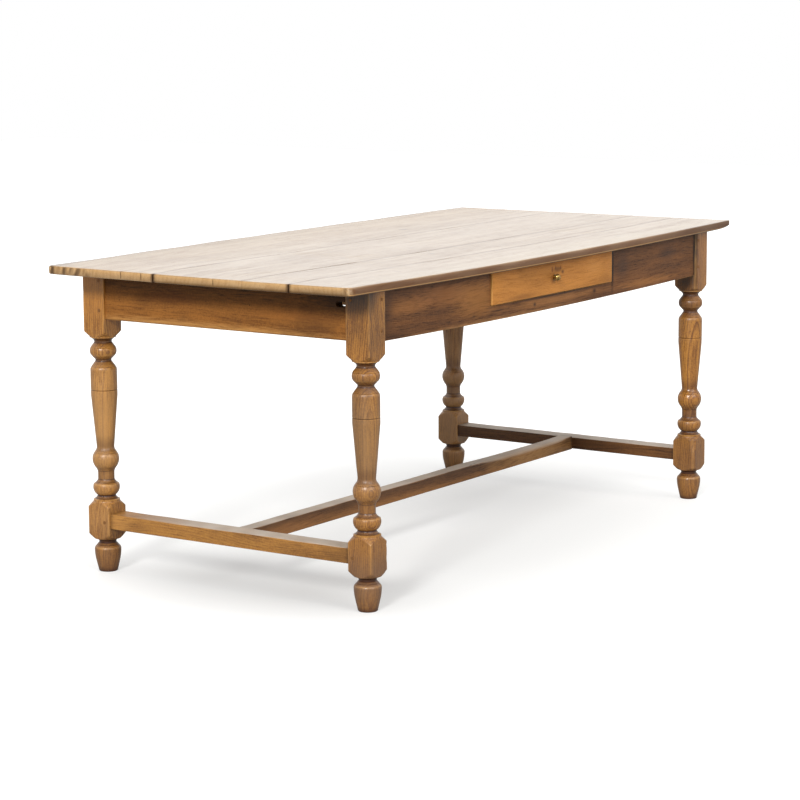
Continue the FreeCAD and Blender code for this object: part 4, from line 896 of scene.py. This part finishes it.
def board_surface(name, stations, cut, low_edge, high_edge, split):
    """An upright board along the table: an upper and a lower half section carried through its stations.

    cut is how far the faces draw in at each station, low_edge and high_edge are the heights of the edges,
    and split is a height between them. Two stations close together make a step, such as the side of a
    notch. The edges are rubbed.
    """
    low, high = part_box(name)
    near, far = low[1] + cut, high[1] - cut
    arris = np.full_like(stations, BOARD_ARRIS)
    columns = np.array([[0.5]])
    across, rise, level = chain(near, far, high_edge - cut - split, arris, arris, columns)
    under, under_rise, under_level = chain(near, far, low_edge + cut - split, arris, arris, columns)
    y = np.concatenate((across, under[:, ::-1]), axis=1)
    z = split + np.concatenate((rise, under_rise[:, ::-1]), axis=1)
    points = np.stack((np.broadcast_to(stations, y.shape), y, z), axis=-1)
    level = np.concatenate((level, under_level[:, ::-1]), axis=1)
    rubbed = np.maximum((level > 0.1) & (level < 0.99), cut > 0)
    return points, board_faces(len(points), across.shape[1]), {"wear": 0.45 * rubbed}


def apron_front_surface(look):
    """The front apron: a board whose lower edge sags by a parabola and whose upper edge steps down to the
    drawer's notch.
    """
    low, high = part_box("apron_front")
    drawer_low, drawer_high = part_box("drawer_front")
    gap = 1.5 * MM
    notch, end = drawer_high[0] + gap, high[0] - 18 * MM
    side = np.linspace(notch + 0.2 * MM, end, 30)
    x = np.concatenate((-side[::-1], np.linspace(-notch, notch, 40), side))[:, None]
    sunk = look.sag * sag_share(x)
    high_edge = np.where(np.abs(x) > notch + 0.1 * MM, high[2] - 0.9 * sunk, drawer_low[2] - gap)
    return board_surface("apron_front", x, np.zeros_like(x), low[2] - sunk, high_edge, low[2] + 10 * MM)


def drawer_front_surface(sag):
    """The drawer front: a board that clears the sunk top and shows the sides' dovetails at its ends."""
    low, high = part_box("drawer_front")
    x, cut = end_stations(high[0] - low[0] - 0.5 * MM, 40 * MM, BOARD_ARRIS)
    flat = np.ones_like(x)
    return board_surface("drawer_front", x, cut, low[2] * flat, (high[2] - sag) * flat,
                         (low[2] + high[2]) / 2)


# Marks of use, painted shade and painted light: place and reach in millimetres, colour and strength

# Marks on an upright face reach this far through the board.
MARK_DEPTH = 40


def face_marks(y, marks):
    """Marks on an upright face along the table: x, z, reach along and upwards, colour and strength."""
    return [((x, y, z), (wide, MARK_DEPTH, tall), tint, strength)
            for x, z, wide, tall, tint, strength in marks]


# The front apron is paler and darker in patches, and dark in the left corner and in old holes. A
# painted highlight runs along its lower edge, painted shade darkens it under the top and in the gap
# beside the right post, and a painted shadow of the proud drawer front lies beside and under the drawer.
FRONT_MARKS = face_marks(-414, (
    (-640, 690, 130, 26, "#9A6534", 0.5), (-440, 700, 180, 30, "#9A6636", 0.6),
    (480, 634, 190, 14, "#A06A36", 0.6), (0, 636, 330, 14, "#A06C3A", 0.55),
    (-365, 636, 9, 7, "#1C1009", 0.9), (-87, 634, 9, 7, "#1C1009", 0.8),
    (205, 637, 11, 8, "#24140A", 0.85), (-735, 690, 40, 60, "#2C1C14", 0.6),
    (0, 745, 2000, 26, "#22160E", 0.45), (-300, 614, 600, 12, "#B0804E", 0.5),
    (297, 695, 10, 90, "#0E0703", 1.0), (0, 649, 340, 5, "#1E120A", 0.7),
    (745, 690, 11, 120, "#0E0703", 1.0), (-350, 672, 130, 55, "#A06A34", 0.65),
    (-520, 700, 130, 28, "#86552F", 0.45), (590, 700, 60, 30, "#2C1D17", 0.5),
    (350, 690, 45, 50, "#33231B", 0.5),
))

# The drawer front has scratches and hand marks round its knob.
DRAWER_MARKS = face_marks(-418, (
    (-10, 712, 5, 10, "#5A2C12", 0.7), (6, 716, 4, 8, "#5A2C12", 0.7), (30, 714, 5, 8, "#5A2C12", 0.6),
    (18, 711, 26, 9, "#3A200F", 0.6), (40, 703, 9, 7, "#2C180B", 0.7), (-8, 690, 14, 16, "#4A2A14", 0.5),
    (-150, 660, 90, 10, "#6E421C", 0.5), (200, 700, 60, 30, "#C98C48", 0.4),
))

# The end aprons carry painted shade under the top; the left one has painted light along its lower edge
# and painted shade under the top beside the front leg.
END_MARKS = (
    ((0, 0, 745), (2000, 900, 80), "#0C0603", 1.0),
    ((-800, 60, 618), (60, 600, 26), "#D49E5C", 0.6),
    ((-800, 150, 690), (60, 120, 22), "#5A3218", 0.5),
    ((-800, -200, 672), (60, 160, 18), "#8A5526", 0.4),
    ((-800, -330, 715), (60, 110, 50), "#20120A", 0.8),
)

# The feet and lower blocks are greyer and darker from mops and shoes, and the left post is more golden.
# Painted shade darkens the posts under the top's overhang; on the front right leg it also darkens the
# post's left side beside the apron and the left of the bead, and a painted shadow of the apron lies on
# the post below it.
LEG_MARKS = {
    "leg_front_left": (((-776, -388, 380), (200, 200, 190), "#9A7A54", 0.35),
                       ((-776, -388, 70), (200, 200, 110), "#664C3A", 0.72),
                       ((-809, -388, 745), (45, 200, 74), "#140B06", 0.9)),
    "leg_back_left": (((-776, 388, 360), (200, 200, 260), "#C2935A", 0.5),
                      ((-776, 388, 680), (200, 200, 90), "#B97C36", 0.5),
                      ((-776, 388, 20), (200, 200, 60), "#6E4E36", 0.4),
                      ((-776, 388, 130), (200, 200, 60), "#C0905A", 0.25),
                      ((-776, 355, 745), (200, 40, 50), "#20140D", 0.6)),
    "leg_front_right": (((776, -388, 80), (200, 200, 100), "#64462F", 0.5),
                        ((776, -388, 660), (200, 200, 90), "#8A5A30", 0.4),
                        ((747, -416, 690), (13, 14, 170), "#1A0E07", 0.9),
                        ((744, -392, 606), (16, 40, 30), "#22130B", 0.8),
                        ((746, -396, 560), (22, 50, 60), "#3A2012", 0.5)),
    "leg_back_right": (((776, 388, 200), (300, 300, 300), "#B08860", 0.6),),
}

# The left stretcher is golden beside the back leg and dull along its lower edge; the long one is paler
# where feet have rubbed it round, and that patch is also painted light where the top shades it.
STRETCHER_MARKS = {
    "stretcher_end_left": (((-776, 330, 130), (80, 60, 40), "#C08A48", 0.5),
                           ((-776, -150, 100), (80, 200, 14), "#7A5230", 0.4)),
    "stretcher_end_right": (),
    "stretcher_long": (((540, 0, 122), (330, 80, 70), "#A87C48", 0.75),
                       ((-200, -31, 108), (900, 30, 17), "#A06E3C", 0.55),
                       ((-640, -31, 116), (220, 30, 40), "#9C6A3C", 0.6)),
}

# Painted shade darkens the left end along its lower arris. The front plank is painted palest and the
# back plank darker, as a painted sheen that brightens towards the front right, and the back plank has a
# stain on its left corner.
SHADED_END_ARRIS = ((-908, -200, 739), (16, 800, 7), "#20120A", 1.0)
PLANK_MARKS = {
    "top_plank_front": (((200, -440, 760), (1300, 130, 60), "#E2CDAA", 0.4), SHADED_END_ARRIS),
    "top_plank_second": (SHADED_END_ARRIS,),
    "top_plank_middle": (SHADED_END_ARRIS,),
    "top_plank_back": (((-250, 440, 760), (900, 170, 60), "#A08A6C", 0.3),
                       ((-880, 410, 761), (36, 16, 8), "#6A4A2C", 0.6)),
}


# Operators

class TablePiece:
    """What every operator of the table shares."""
    bl_options = {"REGISTER", "UNDO"}

    def look(self, context):
        """The looks that the panel shows."""
        return context.scene.farmhouse_table


class TABLE_OT_top(TablePiece, bpy.types.Operator):
    """Make the four worn planks of the top"""
    bl_idname = "table.top"
    bl_label = "Plank top"

    def execute(self, context):
        look = self.look(context).top
        for number, name in enumerate(PLANK_MARKS):
            # Planed oak, scrubbed pale and polished by cloths: soft sheen above, brown wax on edges.
            material = waxed_wood(f"scrubbed_oak_{number}", look.light, look.dark,
                                  heart=(0, 0.04, 0.06 + 0.03 * number), ring=11, figure=0.5, pores=0.6,
                                  bands=0.5, speckle=0.1, stain=0.14, worn="#CB9D62", grime="#3A2310",
                                  edge=look.edge, roughness=0.32, gloss=0.25, polish=1.2,
                                  marks=PLANK_MARKS[name])
            new_piece(f"worn_{name}", *plank_surface(name, number, look), material, "top", "frame", name)
        return {"FINISHED"}


class TABLE_OT_legs(TablePiece, bpy.types.Operator):
    """Make the four turned legs"""
    bl_idname = "table.legs"
    bl_label = "Turned legs"

    def execute(self, context):
        look = self.look(context).legs
        for number, name in enumerate(LEG_MARKS):
            # Turned and waxed oak: rings arch over the vases, crests are rubbed and carry painted
            # highlights, grooves hold dark wax, hollows hold wax and painted shade.
            material = waxed_wood(f"turned_oak_{number}", look.light, look.dark,
                                  heart=(0, 0.035, 0.05 + 0.012 * number), ring=6, figure=0.75, pores=0.6,
                                  speckle=0.25, stain=0.45, worn="#CE9C58", grime="#3C1E0E",
                                  roughness=0.28, gloss=0.5, worm=0.06, marks=LEG_MARKS[name])
            new_piece(f"worn_{name}", *leg_surface(name, number, look), material, "legs", "frame", name)
        return {"FINISHED"}


class TABLE_OT_stretchers(TablePiece, bpy.types.Operator):
    """Make the three foot-worn stretchers"""
    bl_idname = "table.stretchers"
    bl_label = "Stretchers"

    def execute(self, context):
        look = self.look(context).stretchers
        outer = (look.light, look.dark, "#CDBFAE")
        inner = (look.inner_light, look.inner_dark, "#C6B6A4")
        for number, name in enumerate(STRETCHER_MARKS):
            # Sawn oak, rubbed bare and grey above by feet and dull brown below.
            light, dark, worn = outer if name == "stretcher_end_left" else inner
            material = waxed_wood(f"foot_worn_oak_{number}", light, dark, heart=(0, 0.03, 0.05), ring=6,
                                  stain=0.4, worn=worn, roughness=0.42, gloss=0.3,
                                  marks=STRETCHER_MARKS[name])
            surface = stretcher_surface(name, number, look)
            new_piece(f"worn_{name}", *surface, material, "stretchers", "frame", name)
        return {"FINISHED"}


class TABLE_OT_aprons(TablePiece, bpy.types.Operator):
    """Finish the aprons and the pegs that hold them"""
    bl_idname = "table.aprons"
    bl_label = "Aprons and pegs"

    def execute(self, context):
        look = self.look(context).aprons
        # Planed oak under old dark wax: streaked along the grain, with a few worm holes.
        front = waxed_wood("dark_oak_front", look.front_light, look.front_dark, along="XZY",
                           heart=(0.4, -0.55, 0.44), ring=8, figure=0.15, pores=0.6, bands=0.5, stain=0.4,
                           worm=0.08, marks=FRONT_MARKS)
        # The same oak, speckled and dull where no hand polishes it.
        back = waxed_wood("dark_oak_back", look.front_light, look.front_dark, along="XZY",
                          heart=(2.4, -0.58, -0.33), ring=8, figure=0.3, speckle=0.3, stain=0.5)
        # Redder oak, blotched and matt, with many worm holes.
        end = waxed_wood("red_oak_end", look.end_light, look.end_dark, along="YZX",
                         heart=(0.9, -0.56, 0.84), ring=8, figure=0.15, speckle=0.24, stain=0.65,
                         gloss=0.15, worm=0.3, marks=END_MARKS)
        new_piece("sunk_apron_front", *apron_front_surface(look), front, "aprons", "frame", "apron_front")
        finish_nodes(back, "apron_back")
        finish_nodes(end, "apron_end_left", "apron_end_right")
        # Split oak pegs with narrow rings.
        peg = waxed_wood("peg_oak", linear("#8E6236"), linear("#5E3C20"), along="XZY", ring=3, stain=0.4)
        finish_nodes(peg, "apron_pegs", "stretcher_pegs")
        return {"FINISHED"}


class TABLE_OT_drawer(TablePiece, bpy.types.Operator):
    """Finish the drawer and its brass knob"""
    bl_idname = "table.drawer"
    bl_label = "Drawer"

    def execute(self, context):
        look = self.look(context).aprons
        # Planed oak, waxed orange and even, with scratches round the knob.
        front = waxed_wood("orange_oak_drawer", look.drawer_light, look.drawer_dark, along="XZY",
                           heart=(0.1, -0.62, 0.47), ring=7, figure=0.12, bands=0.2, stain=0.25,
                           worm=0.06, marks=DRAWER_MARKS)
        surface = drawer_front_surface(self.look(context).top.sag)
        new_piece("worn_drawer_front", *surface, front, "drawer_face", "drawer", "drawer_front")
        # Bare planed oak inside the drawer: pale, matt and clean.
        lining = waxed_wood("bare_oak_lining", linear("#C9A676"), linear("#A07A4C"), along="YZX",
                            heart=(0.2, -0.6, 0.1), ring=7, stain=0.2, roughness=0.6)
        # The same oak as a thin wide board, a little greyer.
        bottom = waxed_wood("bare_oak_bottom", linear("#C3A072"), linear("#98754A"), along="YXZ",
                            heart=(0.2, 0.1, -0.6), ring=8, stain=0.3, roughness=0.6)
        finish_nodes(lining, "drawer_side_left", "drawer_side_right", "drawer_back")
        finish_nodes(bottom, "drawer_bottom")
        # Cast and turned brass: bright where fingers rub it, brown where they don't.
        brass = old_metal("tarnished_brass", "#B8985A", "#4A3418", 0.2, 5)
        finish_nodes(brass, "drawer_knob", "knob_washer", "knob_nut")
        return {"FINISHED"}


class TABLE_OT_fixings(TablePiece, bpy.types.Operator):
    """Finish the runners, battens, buttons and screws under the top"""
    bl_idname = "table.fixings"
    bl_label = "Runners, battens and screws"

    def execute(self, context):
        # Sawn oak that was never waxed: brown with age and matt.
        crossways = waxed_wood("sawn_oak_crossways", linear("#8C6A45"), linear("#60452B"), along="YXZ",
                               heart=(0.3, 0.1, -0.7), ring=7, stain=0.4, roughness=0.62)
        finish_nodes(crossways, "drawer_runner_left", "drawer_runner_right", "drawer_stops",
                     "top_batten_left", "top_batten_right", "top_buttons")
        # Drawn steel, dark with old oxide.
        steel = old_metal("dark_screw_steel", "#6F6A64", "#34291F", 0.4, 3)
        finish_nodes(steel, "batten_screws", "button_screws")
        return {"FINISHED"}


# Stage

# The camera stands in front of the table's front left corner, in metres and degrees.
CAMERA_PLACE = (-5.6224, -3.7760, 1.4489)
CAMERA_YAW, CAMERA_PITCH, CAMERA_ROLL = 34.22, -9.23, -0.39
SENSOR = 36.0

# Where a light comes from, round the table and upwards, and how wide its source looks, in degrees.
KEY_LIGHT = (196.0, 29.0, 12.0)
FRONT_LIGHT = (258.0, 34.0, 40.0)
TOP_LIGHT = (60.0, 80.0, 45.0)


def direction(turn, tip):
    """The unit vector that is turned from +X round the upright axis and tipped upwards, in radians."""
    return np.array((math.cos(tip) * math.cos(turn), math.cos(tip) * math.sin(turn), math.sin(tip)))


class TABLE_OT_stage(TablePiece, bpy.types.Operator):
    """Set up the floor, the light and the camera"""
    bl_idname = "table.stage"
    bl_label = "Floor, light and camera"

    def execute(self, context):
        look = self.look(context).stage
        scene = context.scene
        scene.view_settings.view_transform = "Standard"
        self.make_floor(look)
        self.make_sky(scene, look)
        self.make_light(scene, "key", look.key, *KEY_LIGHT)
        self.make_light(scene, "front", look.front, *FRONT_LIGHT)
        self.make_light(scene, "top", look.top, *TOP_LIGHT)
        self.make_camera(scene, look)
        return {"FINISHED"}

    def make_floor(self, look):
        """A level square of 24 m; seen directly it is lifted to white, and it still takes the shadow.

        The lift is least under the table, and least of all under its left end: a painted shadow that
        deepens the real one there.
        """
        reach = 12
        corners = [(-reach, -reach, 0), (reach, -reach, 0), (reach, reach, 0), (-reach, reach, 0)]
        mesh = bpy.data.meshes.new("floor")
        mesh.from_pydata(corners, [], [(0, 1, 2, 3)])
        material, tree, shader = new_material("studio_floor")
        shader.inputs["Base Color"].default_value = look.floor
        shader.inputs["Roughness"].default_value = 0.7
        away = oval_distance(tree, (0, 0, 0), (1.5, 1.1, 1))
        lift = node(tree, "ShaderNodeMapRange", {"Value": away, "From Min": 0.3, "From Max": 1.2,
                                                 "To Min": 0.5, "To Max": 0.8},
                    interpolation_type="SMOOTHSTEP").outputs[0]
        # Painted shadow: less lift under the table's left end.
        left = oval_distance(tree, (-0.72, -0.05, 0), (0.3, 0.5, 1))
        painted_left_shadow = node(tree, "ShaderNodeMapRange", {"Value": left, "From Min": 1.3, "From Max": 0.2,
                                                 "To Max": 0.17},
                    interpolation_type="SMOOTHSTEP").outputs[0]
        lift = node(tree, "ShaderNodeMath", {0: lift, 1: painted_left_shadow}, operation="SUBTRACT").outputs[0]
        seen = node(tree, "ShaderNodeLightPath").outputs["Is Camera Ray"]
        lift = node(tree, "ShaderNodeMath", {0: seen, 1: lift}, operation="MULTIPLY").outputs[0]
        shader.inputs["Emission Color"].default_value = (1, 1, 1, 1)
        tree.links.new(lift, shader.inputs["Emission Strength"])
        mesh.materials.append(material)
        floor = bpy.data.objects.new("floor", mesh)
        bpy.context.scene.collection.objects.link(floor)

    def make_sky(self, scene, look):
        """An even white surround: full white where it is seen or mirrored, softer where it lights."""
        world = bpy.data.worlds.new("studio")
        world.use_nodes = True
        tree = world.node_tree
        tree.nodes.clear()
        path = node(tree, "ShaderNodeLightPath").outputs
        seen = node(tree, "ShaderNodeMath", {0: path["Is Camera Ray"], 1: path["Is Glossy Ray"]},
                    operation="MAXIMUM").outputs[0]
        seen = node(tree, "ShaderNodeMath", {0: seen, 1: path["Is Transmission Ray"]},
                    operation="MAXIMUM").outputs[0]
        strength = node(tree, "ShaderNodeMapRange", {"Value": seen, "To Min": look.sky,
                                                     "To Max": 1.0}).outputs[0]
        light = node(tree, "ShaderNodeBackground", {"Color": (1, 1, 1, 1), "Strength": strength})
        node(tree, "ShaderNodeOutputWorld", {"Surface": light.outputs[0]})
        scene.world = world

    def make_light(self, scene, name, strength, turn, tip, spread):
        """Soft light from one side, as from a tall window or a wide panel, aimed at the table."""
        data = bpy.data.lights.new(name, "SUN")
        data.energy = strength
        data.angle = math.radians(spread)
        lamp = bpy.data.objects.new(name, data)
        back = direction(math.radians(turn), math.radians(tip))
        right = np.cross((0, 0, 1), back)
        right = right / np.linalg.norm(right)
        matrix = np.eye(4)
        matrix[:3, 0], matrix[:3, 1], matrix[:3, 2] = right, np.cross(back, right), back
        lamp.matrix_world = Matrix(matrix.tolist())
        scene.collection.objects.link(lamp)

    def make_camera(self, scene, look):
        """A long lens, turned about the upright axis, tipped down and rolled a little."""
        yaw, pitch, roll = np.radians((CAMERA_YAW, CAMERA_PITCH, CAMERA_ROLL))
        forward = direction(yaw, pitch)
        right = np.array((math.sin(yaw), -math.cos(yaw), 0))
        up = np.cross(right, forward)
        matrix = np.eye(4)
        matrix[:3, 0] = right * math.cos(roll) + up * math.sin(roll)
        matrix[:3, 1] = up * math.cos(roll) - right * math.sin(roll)
        matrix[:3, 2] = -forward
        matrix[:3, 3] = CAMERA_PLACE
        data = bpy.data.cameras.new("camera")
        data.lens = look.lens
        data.sensor_width = SENSOR
        camera = bpy.data.objects.new("camera", data)
        camera.matrix_world = Matrix(matrix.tolist())
        scene.collection.objects.link(camera)
        scene.camera = camera


OPERATORS = (TABLE_OT_top, TABLE_OT_legs, TABLE_OT_stretchers, TABLE_OT_aprons, TABLE_OT_drawer,
             TABLE_OT_fixings, TABLE_OT_stage)


class TABLE_PT_panel(bpy.types.Panel):
    """The table's pieces in the sidebar"""
    bl_idname = "TABLE_PT_panel"
    bl_label = "Farmhouse table"
    bl_space_type = "VIEW_3D"
    bl_region_type = "UI"
    bl_category = "Table"

    def draw(self, context):
        for operator in OPERATORS:
            self.layout.operator(operator.bl_idname)
        look = context.scene.farmhouse_table
        for group in (look.top, look.legs, look.stretchers, look.aprons, look.stage):
            box = self.layout.box()
            for name in group.bl_rna.properties.keys():
                if name not in ("rna_type", "name"):
                    box.prop(group, name)


CLASSES = (TopLook, LegLook, StretcherLook, ApronLook, StageLook, TableLook, *OPERATORS, TABLE_PT_panel)


def register():
    for cls in CLASSES:
        bpy.utils.register_class(cls)
    bpy.types.Scene.farmhouse_table = bpy.props.PointerProperty(type=TableLook)


def unregister():
    del bpy.types.Scene.farmhouse_table
    for cls in reversed(CLASSES):
        bpy.utils.unregister_class(cls)


def main():
    register()
    bpy.ops.table.top()
    bpy.ops.table.legs()
    bpy.ops.table.stretchers()
    bpy.ops.table.aprons()
    bpy.ops.table.drawer()
    bpy.ops.table.fixings()
    bpy.ops.table.stage()


if __name__ == "__main__":
    main()
